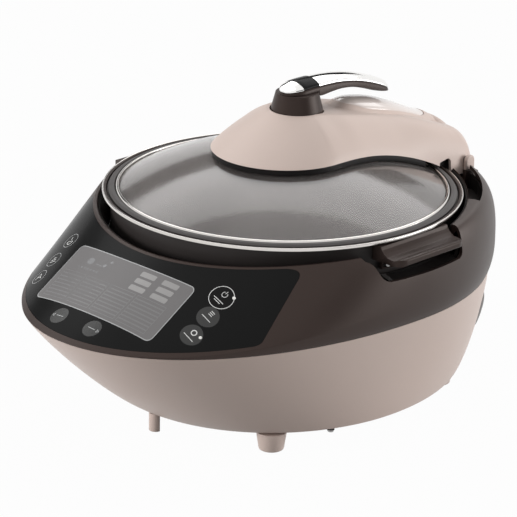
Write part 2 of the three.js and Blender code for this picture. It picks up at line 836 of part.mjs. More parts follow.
function windowOutline(grow) {
  const bowed = ([x, y]) => [x, y - windowBow * (1 - (x / windowHalfWidth) ** 2)];
  const steps = 6;
  const x1 = windowHalfWidth + grow;
  const y1 = -windowTopPlace + grow;
  const y0 = -windowBottomPlace - grow;
  const corner = windowCorner;
  const row = (y, from, to) => Array.from({ length: steps - 1 }, (_, i) =>
    [mix(from, to, (i + 1) / steps), y]);
  return [
    ...arcPoints(x1 - corner, y1 - corner, corner, 0, quarter, 3),
    ...row(y1, x1 - corner, -x1 + corner),
    ...arcPoints(-x1 + corner, y1 - corner, corner, quarter, 2 * quarter, 3),
    ...arcPoints(-x1 + corner, y0 + corner, corner, 2 * quarter, 3 * quarter, 3),
    ...row(y0, -x1 + corner, x1 - corner),
    ...arcPoints(x1 - corner, y0 + corner, corner, 3 * quarter, 4 * quarter, 3),
  ].map(bowed);
}
function controlPanel() {
  return cut(
    skinOver(panelOutline(0), -panelThickness, 0),
    skinOver(windowOutline(seatGap), -panelThickness - overrun, overrun),
    ...ledPlaces().map((place) => ledBody(place, seatGap, overrun)),
  );
}

// Two lamps beside the round keys, as light pipes square to the panel
function ledPlaces() {
  return ledPlacesX.map((x, i) => [x, -openingRadius - ledMargins[i]]);
}
function ledBody([x, y], grow, extra) {
  const p = new THREE.Vector3(...surfacePlan(x, y, 0));
  const q = new THREE.Vector3(...surfacePlan(x, y, -ledLength));
  const axis = p.clone().sub(q).normalize();
  const length = ledLength + 2 * extra;
  const body = new THREE.CylinderGeometry(ledRadius + grow, ledRadius + grow, length, 12);
  body.applyQuaternion(new THREE.Quaternion().setFromUnitVectors(new THREE.Vector3(0, 1, 0), axis));
  const middle = p.clone().add(q).multiplyScalar(0.5);
  return body.translate(middle.x, middle.y, middle.z);
}

add('lower_shell', lowerShell(), beige);
add('upper_shell', upperShell(), brown);
add('control_panel', controlPanel(), panelBlack);
add('display_window', skinOver(windowOutline(0), -panelThickness, 0), windowGrey);
ledPlaces().forEach((place, i) => add(`status_lamp_${i + 1}`, ledBody(place, 0, 0), lampWhite));

// Bottom cover with bosses for the power board and vents towards the front
function bottomCover() {
  const margin = seatGap * 4;
  const outline = bodyAngles.map((angle) => planPoint(
    angle, baseHalfWidth - margin, baseFront - margin, baseRear - margin,
  ));
  const base = plate(outline, coverThickness).translate(0, 0, coverBottom);
  const bosses = boardScrews().map(([x, y]) =>
    disc(boardBossRadius, coverBottom + coverThickness / 2, coverTop + boardBossHeight, 8)
      .translate(x, y, 0));
  const vents = Array.from({ length: ventCount }, (_, i) => {
    const x = (i - (ventCount - 1) / 2) * ventPitch;
    return block(x - ventWidth / 2, x + ventWidth / 2, -ventY - ventLength / 2, -ventY + ventLength / 2,
      coverBottom - overrun, coverTop + overrun);
  });
  const screwHoles = coverScrews().map(([x, y]) =>
    disc(screwShankRadius + seatGap * 2, coverBottom - overrun, coverTop + overrun, 8).translate(x, y, 0));
  return cut(join(base, ...bosses), ...vents, ...screwHoles);
}
function boardScrews() {
  const dx = powerBoardLength / 2 - boardBossRadius * 2;
  const dy = powerBoardWidth / 2 - boardBossRadius * 2;
  return [[dx, dy], [-dx, dy], [-dx, -dy], [dx, -dy]].map(([x, y]) => [x, powerBoardY + y]);
}
function coverScrews() {
  const reach = baseHalfWidth - baseFlangeWidth / 2;
  return coverScrewShares.map((share) => {
    const angle = share * Math.PI;
    const p = planPoint(angle, reach, baseFront - baseFlangeWidth / 2, baseRear - baseFlangeWidth / 2);
    return [p[0], p[1]];
  });
}
function screw() {
  const head = disc(screwRadius, -screwHead, 0, 10, screwRadius * screwTopShare);
  const shank = disc(screwShankRadius, -screwHead / 2, screwLength, 8);
  const recess = disc(screwRadius * screwRecessShare, -screwHead - overrun, -screwHead / 2, 6);
  return cut(join(head.rotateX(Math.PI).translate(0, 0, -screwHead), shank), recess);
}

add('bottom_cover', bottomCover(), blackPlastic);
const footPlaces = {
  foot_front_right: [footSpreadX, -footFrontY], foot_front_left: [-footSpreadX, -footFrontY],
  foot_rear_right: [footSpreadX, footRearY], foot_rear_left: [-footSpreadX, footRearY],
};
for (const [name, [x, y]] of Object.entries(footPlaces)) {
  const sole = footRadius - overrun;
  const top = coverBottom - seatGap;
  add(name, turned([[0, 0], [sole, 0], [footRadius, overrun], [footTopRadius, top], [0, top]], 18),
    beige, [x, y, 0]);
}

// Half-round prop under the front edge, open at its back
function frontProp() {
  const outline = [
    ...arcPoints(0, 0, propRadius, Math.PI, 2 * Math.PI, 8),
    ...arcPoints(0, 0, propRadius - propWall, 2 * Math.PI, Math.PI, 8),
  ];
  return plate(outline, coverBottom - seatGap);
}
add('front_prop', frontProp(), beige, [0, -propY, 0]);

// Well ring: the black trough between the pot and the body opening
function wellRing() {
  const ring = (radius, heightAt) => bodyAngles.map((angle) => [
    radius * Math.cos(angle), radius * Math.sin(angle), heightAt(angle),
  ]);
  const level = (height) => () => height;
  const topAt = (drop) => (angle) => openingHeight(angle) - drop;
  const outerThroat = wellThroatRadius + wellWall;
  const rings = [
    ring(wellThroatRadius, level(wellThroatBottom)),
    ring(outerThroat, level(wellThroatBottom)),
    ring(outerThroat, level(wellThroatTop - wellWall)),
    ring(wellOuter, topAt(lipWidth + wellWall)),
    ring(wellOuter, topAt(lipWidth / 2)),
    ring(wellThroatRadius, level(wellThroatTop)),
  ];
  return cut(
    ringSolid(rings, true), notchPrism(1, 0), notchPrism(-1, 0),
    block(-pocketHalfWidth, pocketHalfWidth, wellThroatRadius - pocketHalfWidth / 2, bellyRear,
      pocketHeight, openingHeightRear + overrun),
  );
}
add('well_ring', wellRing(), blackPlastic);

// Recess cups behind the handle notches: a floor with an upturned wall at each end
function recessCup(side) {
  const top = openingHeightRear + overrun * 2;
  const channel = cut(notchPrism(side, seatGap + recessWall), notchPrism(side, seatGap));
  const clear = [
    disc(wellThroatRadius + wellWall + seatGap, footHeight, top, 60),
    disc(openingRadius + shellWall + seatGap, notchFloorHeight, top, 60),
  ];
  return common(cut(channel, ...clear), bodyVolume(shellWall + seatGap));
}
add('recess_cup_right', recessCup(1), blackPlastic);
add('recess_cup_left', recessCup(-1), blackPlastic);
// Heat shield round the pot, hanging from the well ring
function shieldProfile(offset) {
  const mouth = wellThroatRadius + wellWall - shieldWall;
  return [
    [shieldHoleRadius, shieldFloorHeight + offset],
    [shieldFloorRadius - offset, shieldFloorHeight + offset],
    ...shieldCurveShares.map((share, i) => [
      mix(shieldFloorRadius, mouth, share) - offset,
      mix(shieldFloorHeight, shieldTop, shieldRiseShares[i]) + offset * (1 - share),
    ]),
    [mouth - offset, shieldTop],
  ];
}
const shieldOutline = [...shieldProfile(0), ...shieldProfile(shieldWall).reverse()];
const plateLegs = [0, 1, 2].map((i) => {
  const a = (turn * i) / 3 + quarter;
  return [plateLegPlace * Math.cos(a), plateLegPlace * Math.sin(a)];
});
add('heat_shield', turned(shieldOutline, 26), zincSteel);

// Heating plate on three legs, with the sheathed heater in a groove under it
function heatingPlate() {
  const rim = plateThickness / 3;
  const grooveInner = heaterRadius - heaterTube - seatGap;
  const grooveOuter = heaterRadius + heaterTube + seatGap;
  const grooveTop = plateBottom + heaterTube + seatGap;
  const face = turned([
    [plateHoleRadius, plateBottom], [grooveInner, plateBottom], [grooveInner, grooveTop],
    [grooveOuter, grooveTop], [grooveOuter, plateBottom], [plateRadius - rim, plateBottom],
    [plateRadius, plateBottom + rim], [plateRadius, plateTop - rim], [plateRadius - rim, plateTop],
    [plateHoleRadius, plateTop],
  ], 24);
  const legs = plateLegs.map(([x, y]) =>
    disc(plateLegRadius, shieldFloorHeight + shieldWall + seatGap, plateBottom + rim, 12).translate(x, y, 0));
  return join(face, ...legs);
}
add('heating_plate', heatingPlate(), aluminium);
add('heater_ring',
  turned(arcPoints(heaterRadius, plateBottom, heaterTube, 0, turn, 5).slice(0, 5), 24), zincSteel);

// Thermostat sensor, pushed up against the pot by its spring
const sensorTop = potFloorHeight - seatGap;
const sensorBottom = sensorTop - sensorHeight;
add('thermostat_sensor', turned([
  [0, sensorBottom - sensorTravel - seatGap], [sensorStemRadius, sensorBottom - sensorTravel - seatGap],
  [sensorStemRadius, sensorBottom], [sensorRadius, sensorBottom], [sensorRadius, sensorTop], [0, sensorTop],
], 20), aluminium);

// Spring coil drawn as a tube wound round the Z axis
class Helix extends THREE.Curve {
  constructor(radius, height, turns) {
    super();
    this.radius = radius;
    this.height = height;
    this.turns = turns;
  }

  getPoint(t, target = new THREE.Vector3()) {
    const a = turn * this.turns * t;
    return target.set(this.radius * Math.cos(a), this.radius * Math.sin(a), this.height * t);
  }
}
function coil(radius, height, turns, wire) {
  const outline = new THREE.Shape(arcPoints(0, 0, wire / 2, 0, turn, 4).slice(0, 4)
    .map(([u, v]) => new THREE.Vector2(u, v)));
  return new THREE.ExtrudeGeometry(outline, {
    steps: turns * 7, extrudePath: new Helix(radius, height - wire, turns), bevelEnabled: false,
  }).translate(0, 0, wire / 2);
}
const sensorSeat = sensorBottom - seatGap - sensorSpringLength;
add('sensor_spring', coil(sensorStemRadius + springWire * 1.5, sensorSpringLength, 3, springWire), zincSteel,
  [0, 0, sensorSeat]);
const bridgeTop = sensorSeat - seatGap;
const bridgeReach = shieldHoleRadius + plateLegRadius;
const bridgeTab = (side) => block(side * (bridgeReach - overrun), side * bridgeReach,
  -sensorRadius, sensorRadius, bridgeTop - recessWall, shieldFloorHeight - seatGap);
add('sensor_bridge', cut(
  join(block(-bridgeReach, bridgeReach, -sensorRadius, sensorRadius, bridgeTop - recessWall, bridgeTop),
    bridgeTab(1), bridgeTab(-1)),
  disc(sensorStemRadius + seatGap, sensorSeat - overrun * 3, sensorSeat, 16),
), zincSteel);

// Pot: a coated bowl with a steel ring round its flange
function potBowl() {
  const wallTo = (offset) => [
    [0, potFloorHeight + offset],
    [potFloorRadius - offset, potFloorHeight + offset],
    ...potCurveShares.map((share, i) => [
      mix(potFloorRadius, potRadius, share) - offset * Math.min(1, share + share),
      mix(potFloorHeight, potRimHeight, potRiseShares[i]) + offset * (1 - share),
    ]),
  ];
  return turned([
    ...wallTo(0),
    [potRadius, potRimHeight - potWall],
    [potFlangeRadius, potRimHeight - potWall],
    [potFlangeRadius, potRimHeight],
    [potRadius - potWall, potRimHeight],
    ...wallTo(potWall).reverse(),
  ], potSegments);
}
const ringHeight = potRimHeight + potWall / 4;
add('pot', potBowl(), coating);
add('pot_rim_ring', turned(arcPoints(rimRingRadius, ringHeight, rimRingTube, 0, turn, 6).slice(0, 6),
  potSegments), steel);

// Pot handles: a grip with a hollow shoulder on a curved base plate that two screws hold to the pot
function gripSection() {
  const wallTop = potRimHeight - potWall - seatGap;
  const lipTop = gripHeight + gripThickness;
  const edge = gripLip / 2;
  const root = potRadius + gripWallThickness + seatGap;
  return [
    [potRadius - gripCorner, gripHeight], [gripReach - edge, gripHeight], [gripReach, gripHeight + edge],
    [gripReach, lipTop - edge], [gripReach - edge, lipTop], [gripReach - gripLip, lipTop],
    [gripReach - gripLip * 2, lipTop - edge / 2], [root + gripLip * 2, lipTop],
    [root + gripLip, lipTop + edge], [root + edge / 2, lipTop + gripLip], [root, wallTop],
    [potRadius - gripCorner, wallTop],
  ];
}
function potHandle() {
  const wallTop = potRimHeight - potWall - seatGap;
  const wallBottom = gripHeight - gripBaseDrop;
  const lengthwise = new THREE.Matrix4().makeBasis(
    new THREE.Vector3(1, 0, 0), new THREE.Vector3(0, 0, 1), new THREE.Vector3(0, -1, 0),
  );
  const bar = plate(gripSection(), gripHalfLength * 2).applyMatrix4(lengthwise)
    .translate(0, gripHalfLength, 0);
  const plan = plate(
    roundedRectangle(potRadius - gripCorner * 3, gripReach, -gripHalfLength, gripHalfLength, gripCorner),
    gripDrop,
  ).translate(0, 0, gripHeight);
  const wall = common(
    tube(potRadius, potRadius + gripWallThickness, wallBottom, wallTop, 64),
    block(0, gripReach, -gripWallHalfLength, gripWallHalfLength, wallBottom - overrun, wallTop + overrun),
  );
  const potBody = disc(potRadius + seatGap, wallBottom - overrun, potRimHeight, 64);
  const holes = [-1, 1].map((side) => handleScrewBody(side, screwShankRadius + seatGap));
  return cut(join(common(bar, plan), wall), potBody, ...holes);
}
const handleScrewAngle = Math.asin(gripScrewPlace / (potRadius + gripWallThickness));
function handleScrewBody(side, radius) {
  const reach = gripWallThickness * 2;
  return new THREE.CylinderGeometry(radius, radius, reach, 12).rotateZ(quarter)
    .translate(potRadius + reach / 2, 0, gripHeight - gripBaseDrop / 2)
    .rotateZ(side * handleScrewAngle);
}
function handleScrew(side) {
  const headBase = potRadius + gripWallThickness + seatGap;
  const head = new THREE.CylinderGeometry(screwRadius * screwTopShare, screwRadius, screwHead, 10)
    .rotateZ(-quarter).translate(headBase + screwHead / 2, 0, 0);
  const shank = new THREE.CylinderGeometry(screwShankRadius, screwShankRadius, gripWallThickness, 8)
    .rotateZ(quarter).translate(headBase - gripWallThickness / 2 + seatGap, 0, 0);
  return join(head, shank).translate(0, 0, gripHeight - gripBaseDrop / 2).rotateZ(side * handleScrewAngle);
}
const handleRight = potHandle();
add('pot_handle_right', handleRight, handleBrown);
add('pot_handle_left', mirrored(handleRight), handleBrown);
for (const [end, side] of [['front', -1], ['rear', 1]]) {
  add(`handle_screw_right_${end}`, handleScrew(side), chrome);
  add(`handle_screw_left_${end}`, mirrored(handleScrew(side)), chrome);
}

// Glass lid: dome, steel rim, silicone gasket, hub and its nut
const glassProfile = (sphere, from, to, steps) =>
  Array.from({ length: steps + 1 }, (_, i) => {
    const radius = mix(from, to, i / steps);
    return [radius, domeHeight(radius, sphere)];
  });
add('lid_glass', turned([
  ...glassProfile(glassSphere - glassThickness, glassHole, glassRadius, 4),
  ...glassProfile(glassSphere, glassHole, glassRadius, 4).reverse(),
], lidSegments), glass);
const lidRimInner = glassRadius - lidRimGrip;
const lidRimOuter = glassRadius + lidRimReach;
const gasketRadius = lidRimOuter + gasketWidth;
const rimTopHeight = domeHeight(lidRimInner) + seatGap + lidRimWall;
const rimBottomHeight = domeHeight(glassRadius, glassSphere - glassThickness) - seatGap - lidRimWall;
add('lid_rim', turned([
  [lidRimInner, rimTopHeight - lidRimWall],
  [lidRimInner + lidRimWall / 2, rimTopHeight], [lidRimOuter - lidRimWall, rimTopHeight],
  [lidRimOuter, rimTopHeight - lidRimWall], [lidRimOuter, rimBottomHeight],
  [lidRimInner, rimBottomHeight], [lidRimInner, rimBottomHeight + lidRimWall],
  [glassRadius + seatGap, rimBottomHeight + lidRimWall], [glassRadius + seatGap, rimTopHeight - lidRimWall],
], lidSegments), steel);
const gasketBottom = potRimHeight + seatGap;
add('lid_gasket', turned([
  [lidRimOuter + seatGap, gasketBottom], [gasketRadius, gasketBottom],
  [gasketRadius, gasketBottom + gasketThickness / 2],
  [gasketRadius - gasketThickness, gasketBottom + gasketThickness],
  [lidRimOuter + seatGap, gasketBottom + gasketThickness],
], lidSegments), silicone);

const hubTop = glassTop + seatGap + hubHeight;
const hubUnder = glassTop - glassThickness - seatGap - hubNutThickness;
add('lid_hub', turned([
  [0, hubUnder], [hubStem - seatGap * 3, hubUnder],
  [hubStem - seatGap * 3, glassTop + seatGap], [hubRadius, glassTop + seatGap],
  [hubRadius, hubTop - seatGap], [spigotRadius, hubTop - seatGap],
  [spigotRadius, hubTop + spigotHeight], [0, hubTop + spigotHeight],
], 24), blackPlastic);
const nutTop = domeHeight(hubRadius, glassSphere - glassThickness) - seatGap;
add('hub_nut', turned([
  [hubStem - seatGap * 2, hubUnder], [hubRadius - overrun, hubUnder], [hubRadius, hubUnder + overrun],
  [hubRadius, nutTop], [hubStem - seatGap * 2, nutTop],
], 24), zincSteel);

// Arm surface over the lid: shoulder line and the hump
const fromHinge = (shares) => shares.map((share) => share * hingePlace);
const armRidgePlaces = fromHinge(armRidgeShares);
const humpPlaces = fromHinge(humpShares);
const buttonFront = hingePlace * buttonFrontShare;
const buttonRear = hingePlace - buttonRearInset;
const buttonStemPlace = hingePlace * buttonStemShare;
function humpRise(x, y) {
  if (y <= humpPlaces[0] || y >= humpPlaces[humpPlaces.length - 1]) return 0;
  const half = along(humpPlaces, humpHalfWidths, y);
  const across = 1 - (x / half) ** 2;
  return across > 0 ? Math.max(0, along(humpPlaces, humpRises, y)) * across ** humpCurveShare : 0;
}
const plateauHeight = (y) => lidRingHeight + along(armRidgePlaces, armRidgeRises, y);
const armTopHeight = (x, y) => plateauHeight(y) + humpRise(x, y);
const armEdgeHeight = (x, y) => Math.max(domeHeight(Math.hypot(x, y)) + armTrimHeight, armRearHeight);

// Plan outline of the arm as [x, y, place on the spine], right side, then mirrored
function armPlan(inset, rear, spineEnd, rearCurve) {
  const half = [];
  const frontSteps = 6;
  const sideSteps = 7;
  const rearSteps = 4;
  for (let i = 0; i < frontSteps; i += 1) {
    const a = mix(-quarter, 0, i / frontSteps);
    half.push([(armRadius - inset) * Math.cos(a), (armRadius - inset) * Math.sin(a), turretPlace]);
  }
  for (let i = 0; i <= sideSteps; i += 1) {
    const y = mix(0, spineEnd, i / sideSteps);
    const wide = mix(armRadius, armHalfWidth, smooth(y / armRadius)) - inset;
    half.push([wide, y, Math.max(y, turretPlace)]);
  }
  for (let i = 1; i <= rearSteps; i += 1) {
    const a = (quarter * i) / rearSteps;
    const x = i === rearSteps ? 0 : (armHalfWidth - inset) * Math.cos(a) ** (2 / rearCurve);
    const y = spineEnd + (rear - inset - spineEnd) * Math.sin(a) ** (2 / rearCurve);
    half.push([x, y, spineEnd]);
  }
  const mirrored = half.slice(1, -1).reverse().map(([x, y, s]) => [-x, y, s]);
  return [...half, ...mirrored];
}

// Surface point of the arm for one outline point and one share from the spine to the edge
function armShoulderShare(point) {
  const [x, y, spine] = point;
  const reach = Math.hypot(x, y - spine);
  const half = mix(armSeatRadius, armShoulderHalfWidth, smooth((spine - turretPlace) / armSeatRadius));
  const back = spine >= armSpineEnd - armWall ? reach * shoulderRearShare : half;
  return Math.min(shoulderMostShare, Math.min(half, Math.max(back, half * shoulderLeastShare)) / reach);
}
function armPoint(point, level, drop) {
  const [x, y, spine] = point;
  const shoulder = armShoulderShare(point);
  const share = level <= 1 ? shoulder * level : mix(shoulder, 1, level - 1);
  const at = [x * share, mix(spine, y, share)];
  if (level <= 1) return [at[0], at[1], armTopHeight(at[0], at[1]) - drop];
  const q = level - 1;
  const shoulderAt = [x * shoulder, mix(spine, y, shoulder)];
  const top = armTopHeight(shoulderAt[0], shoulderAt[1]) - drop;
  const low = armEdgeHeight(x, y);
  const frontness = clamp01(-y / armRadius);
  const squareness = smooth((spine - armSquarePlace) / (armSpineEnd - armSquarePlace));
  const side = mix(armSideCurveShare, armEndCurveShare, squareness);
  const curve = mix(side, armFrontCurveShare, frontness);
  return [at[0], at[1], low + (top - low) * (1 - q ** curve) ** (1 / curve)];
}
function armVolume(inset, drop, levels, below) {
  const outline = armPlan(inset, armRear, armSpineEnd, armRearCurveShare);
  const rings = levels.map((level) => outline.map((point) => armPoint(point, level, drop)));
  const foot = (share, extra) => outline.map(([x, y, spine]) => {
    const px = x * share;
    const py = mix(spine, y, share);
    return [px, py, armEdgeHeight(px, py) - extra];
  });
  rings.push(foot(1, below), foot(0.6, below), foot(0, below));
  return ringSolid(rings, false);
}
const outerLevels = [0, 0.5, 1, 1.25, 1.5, 1.72, 1.9, 2];
const innerLevels = [0, 0.7, 1.1, 1.6, 2];

// Outline of the button in plan, from the hump table
function buttonPlan(grow) {
  const halfAt = (y) => Math.max(seatGap, along(humpPlaces, humpHalfWidths, y) - buttonInset) + grow;
  const front = buttonFront - grow;
  const rear = buttonRear + grow;
  const steps = 14;
  const right = [];
  for (let i = 1; i < steps; i += 1) {
    const a = (Math.PI * i) / steps;
    const y = mix(front, rear, (1 - Math.cos(a)) / 2);
    const round = Math.min(1, Math.sqrt(Math.sin(a) * 1.5));
    right.push([halfAt(y) * round, y]);
  }
  const left = right.slice().reverse().map(([x, y]) => [-x, y]);
  return [[0, front], ...right, [0, rear], ...left];
}
function buttonBody(grow, bottomDrop, topExtra) {
  const outline = buttonPlan(grow);
  const middle = (p) => Math.min(buttonRear - buttonEnd, Math.max(buttonFront + buttonEnd, p[1]));
  const ringOf = (share, height) => outline.map((p) => {
    const x = p[0] * share;
    const y = mix(middle(p), p[1], share);
    return [x, y, height(x, y)];
  });
  const top = (x, y) => armTopHeight(x, y) + topExtra;
  const bottom = (x, y) => plateauHeight(y) - bottomDrop;
  return ringSolid([
    ...[0, 0.35, 0.7, 1].map((share) => ringOf(share, top)),
    ...[1, 0].map((share) => ringOf(share, bottom)),
  ], false);
}

// Bore for the hinge pin, right through the arm
function pinBore() {
  const reach = armHalfWidth + overrun;
  return rodX(pinRadius + seatGap, -reach, reach, hingePlace, hingeHeight);
}

// Arm housing: hollow moulding, open below, with bores for the pin and the turret
const turretHole = turretRadius + runningGap * 2;
function armHousing() {
  const outer = armVolume(0, 0, outerLevels, 0);
  const inner = armVolume(armWall, armWall, innerLevels, armTrimHeight);
  const rimNotchTop = lidRingHeight + armTrimHeight * 1.7;
  const rimNotch = sidePlate([
    [beamStepPlace + overrun * 2, lidRingHeight - armTrimHeight * 2],
    [hingePlace - knuckleRadius * 2, lidRingHeight - armTrimHeight * 2],
    [hingePlace - knuckleRadius * 2, rimNotchTop - armTrimHeight / 2],
    [hingePlace - knuckleRadius * 2 - armTrimHeight / 2, rimNotchTop],
    [beamStepPlace + overrun * 3, rimNotchTop - armTrimHeight / 3],
  ], -armRadius - overrun, armRadius + overrun);
  return cut(
    outer, inner, rimNotch, pinBore(),
    disc(turretHole, turretBottom, armSeatHeight + armTrimHeight, 40).translate(0, turretPlace, 0),
    buttonBody(runningGap, buttonSkirt * 2, buttonSkirt * 2),
  );
}
add('arm_housing', armHousing(), beige);

// Release button with its stem, and the spring under it
const stemSeat = plateauHeight(buttonStemPlace) - buttonSkirt;
function releaseButton() {
  const stem = disc(buttonStemRadius, beamTop(buttonStemPlace) - buttonTravel, stemSeat + overrun, 16)
    .translate(0, buttonStemPlace, 0);
  return join(buttonBody(0, buttonSkirt, 0), stem);
}
add('release_button', releaseButton(), beige);
const buttonSpringHeight = stemSeat - beamTop(buttonStemPlace) - seatGap * 2;
add('button_spring', coil(buttonStemRadius + springWire * 1.2, buttonSpringHeight, 3, springWire), zincSteel,
  [0, buttonStemPlace, beamTop(buttonStemPlace) + seatGap]);

// Chassis beam: side outline extruded across, with a knuckle on the hinge pin
function beamUnder(y) {
  return domeHeight(Math.abs(y)) + armTrimHeight + seatGap;
}
function beamTop(y) {
  return beamUnder(y) + beamHeight;
}
function armChassis() {
  const steps = 8;
  const start = -hubRadius - overrun;
  const under = Array.from({ length: steps + 1 }, (_, i) => {
    const y = mix(start, beamStepPlace, i / steps);
    return [y, beamUnder(y)];
  });
  const over = Array.from({ length: steps + 1 }, (_, i) => {
    const y = mix(beamStepPlace + beamHeight, start, i / steps);
    return [y, beamTop(Math.min(y, beamStepPlace))];
  });
  const neck = hingePlace - knuckleRadius * 0.7;
  const outline = [
    ...under, [beamStepPlace, beamStepHeight], [neck, beamStepHeight - knuckleRadius * 0.2],
    [hingePlace, hingeHeight - knuckleRadius / 2], [hingePlace, hingeHeight + knuckleRadius],
    [neck - knuckleRadius, hingeHeight + knuckleRadius * 1.2], ...over,
  ];
  const beam = sidePlate(outline, -beamHalfWidth, beamHalfWidth);
  const knuckle = rodX(knuckleRadius, -knuckleHalfLength, knuckleHalfLength, hingePlace, hingeHeight, 24);
  const shaftBore = disc(shaftRadius + seatGap, glassTop, turretTop, 20).translate(0, turretPlace, 0);
  const spigotBore = disc(spigotRadius + seatGap, glassTop, turretTop, 24);
  const stemBore = disc(buttonStemRadius + seatGap, lidRingHeight, turretTop, 16)
    .translate(0, buttonStemPlace, 0);
  return cut(join(beam, knuckle), pinBore(), shaftBore, spigotBore, stemBore);
}
add('arm_chassis', armChassis(), blackPlastic);

// Arm trim: the black undercover that follows the glass, with a lip under the housing edge
function armTrim() {
  const outline = armPlan(armTrimInset, armTrimEnd, armTrimEnd - armTrimLip * 2, 6);
  const bottom = (x, y) => domeHeight(Math.hypot(x, y)) + seatGap * 3;
  const ringOf = (share, height) => outline.map(([x, y, spine]) => {
    const px = x * share;
    const py = mix(spine, y, share);
    return [px, py, height(px, py)];
  });
  const lipTop = (x, y) => domeHeight(Math.hypot(x, y)) + armTrimHeight - runningGap;
  const floorTop = (x, y) => bottom(x, y) + armTrimThickness;
  const lipShare = 1 - armTrimLip / armHalfWidth;
  const slab = ringSolid([
    ...[0, 0.5, 1].map((share) => ringOf(share, bottom)),
    ringOf(1, lipTop), ringOf(lipShare, lipTop), ringOf(lipShare, floorTop),
    ringOf(0.5, floorTop), ringOf(0, floorTop),
  ], false);
  return cut(slab, disc(hubRadius + seatGap, lidRingHeight, hubTop, 32));
}
add('arm_trim', armTrim(), rubber);

// Turret and lever
const shaftTop = turretBottom + shaftSocketDepth - seatGap;
const turretVolume = (grow) => turned([
  [0, turretBottom], [turretRadius + grow, turretBottom], [turretRadius + grow, armSeatHeight],
  [turretTopRadius + grow, turretTop], [turretTopRadius, turretTop + grow], [0, turretTop + grow],
], 28);
function turretBody() {
  const socket = disc(shaftRadius + seatGap, turretBottom - overrun, turretBottom + shaftSocketDepth, 16);
  return cut(turretVolume(0), socket);
}
add('turret', turretBody(), handleBrown, [0, turretPlace, 0]);
add('lever_shaft', disc(shaftRadius, beamUnder(turretPlace) + seatGap, shaftTop, 20), zincSteel,
  [0, turretPlace, 0]);

// Half width of the lever in plan, round at the turret end and at the tip
function leverHalf(y, inset = 0) {
  const straight = mix(leverHalfWidth, leverTipHalfWidth, clamp01((y - stripEnd) / (leverTip - stripEnd)));
  const front = clamp01((y - leverFront) / (turretPlace - leverFront));
  const tip = clamp01((leverTip - y) / leverTipHalfWidth);
  const rounding = Math.sqrt(1 - (1 - front) ** 2) * Math.sqrt(1 - (1 - tip) ** 2);
  return Math.max(leverEndHalf, straight * rounding - inset);
}
const leverStations = Array.from({ length: 17 }, (_, i) =>
  mix(leverFront, leverTip, (1 - Math.cos((Math.PI * i) / 16)) / 2));
function leverLoft(from, to, inset, lowHeight, highHeight) {
  const inside = leverStations.filter((y) => y > from + stationGap && y < to - stationGap);
  const stations = [from, ...inside, to];
  const across = [-1, -0.55, 0, 0.55, 1];
  const rings = stations.map((y) => {
    const half = leverHalf(y, inset);
    const narrow = half / leverHalf(y);
    const top = across.map((share) => [half * share, y, highHeight(y, share * narrow)]);
    const low = across.slice().reverse().map((share) => [half * share, y, lowHeight(y, share * narrow)]);
    return [...top, ...low];
  });
  // An end face joins each point of the top edge to the point under it
  const cap = (ring) => ring.map((p, i) => (i < across.length ? ring[ring.length - 1 - i] : p));
  return ringSolid([cap(rings[0]), ...rings, cap(rings[rings.length - 1])], false);
}
const crownRise = (y, share) => leverCrown * (1 - share * share)
  * smooth((y - leverFront) / (turretPlace - leverFront));
const edgeHeight = (y) => armSeatHeight + along(leverPlaces, leverEdgeRises, y);
const underHeight = (y, share) => armSeatHeight + along(leverPlaces, leverUnderRises, y)
  + leverHollow * share * share * smooth((y - turretPlace) / turretTopRadius);
const inlayBed = (y, share) => edgeHeight(y) - inlayThickness + crownRise(y, share);
const inlayTop = (y, share) => edgeHeight(y) + crownRise(y, share);
function leverBody() {
  const body = leverLoft(leverFront, leverTip, 0, underHeight, (y, share) => inlayBed(y, share) - inlayGap);
  return cut(body, turretVolume(seatGap).translate(0, turretPlace, 0));
}
const inlay = (from, to) => leverLoft(from, to, inlayInset, inlayBed, inlayTop);
add('lever', leverBody(), handleBrown);
add('lever_cap', inlay(leverFront + inlayInset, capEnd - seatGap / 2), chrome);
add('lever_strip', inlay(capEnd + seatGap / 2, stripEnd - seatGap / 2), panelBlack);
add('lever_inlay', inlay(stripEnd + seatGap / 2, leverTip - inlayInset * 2), chrome);

// Hinge: brackets in the rear pan with blind bores for the pin's ends, pin and two springs
const bracketPlace = armHalfWidth + seatGap * 3;
const pinHalfLength = bracketPlace + pinEngagement;
function hingeBracket(side) {
  const floor = pocketHeight - panDepth + panWall + seatGap;
  const outline = [
    [hingePlace - bracketRadius * 1.3, floor],
    [hingePlace + bracketRadius / 2, floor],
    ...arcPoints(hingePlace, hingeHeight, bracketRadius, 0, Math.PI, 8),
  ];
  const inner = bracketPlace;
  const ear = sidePlate(outline, inner, inner + bracketThickness);
  const foot = block(inner, inner + bracketFoot, hingePlace - bracketRadius * 1.3, hingePlace,
    floor, floor + bracketThickness);
  const bore = rodX(pinRadius + seatGap, 0, pinHalfLength + seatGap, hingePlace, hingeHeight);
  const bracket = cut(join(ear, foot), bore);
  return side > 0 ? bracket : mirrored(bracket);
}
function mirrored(geometry) {
  return tidy(geometry.clone().applyMatrix4(new THREE.Matrix4().makeScale(-1, 1, 1)));
}
add('hinge_bracket_right', hingeBracket(1), brown);
add('hinge_bracket_left', hingeBracket(-1), brown);
add('hinge_pin', rodX(pinRadius, -pinHalfLength, pinHalfLength, hingePlace, hingeHeight), zincSteel);
const sleeveStart = knuckleHalfLength + seatGap;
for (const [name, side] of [['right', 1], ['left', -1]]) {
  const spring = coil(pinRadius + springWire, springSleeveLength, 3, springWire).rotateY(side * quarter);
  add(`hinge_spring_${name}`, spring, zincSteel, [side * sleeveStart, hingePlace, hingeHeight]);
}

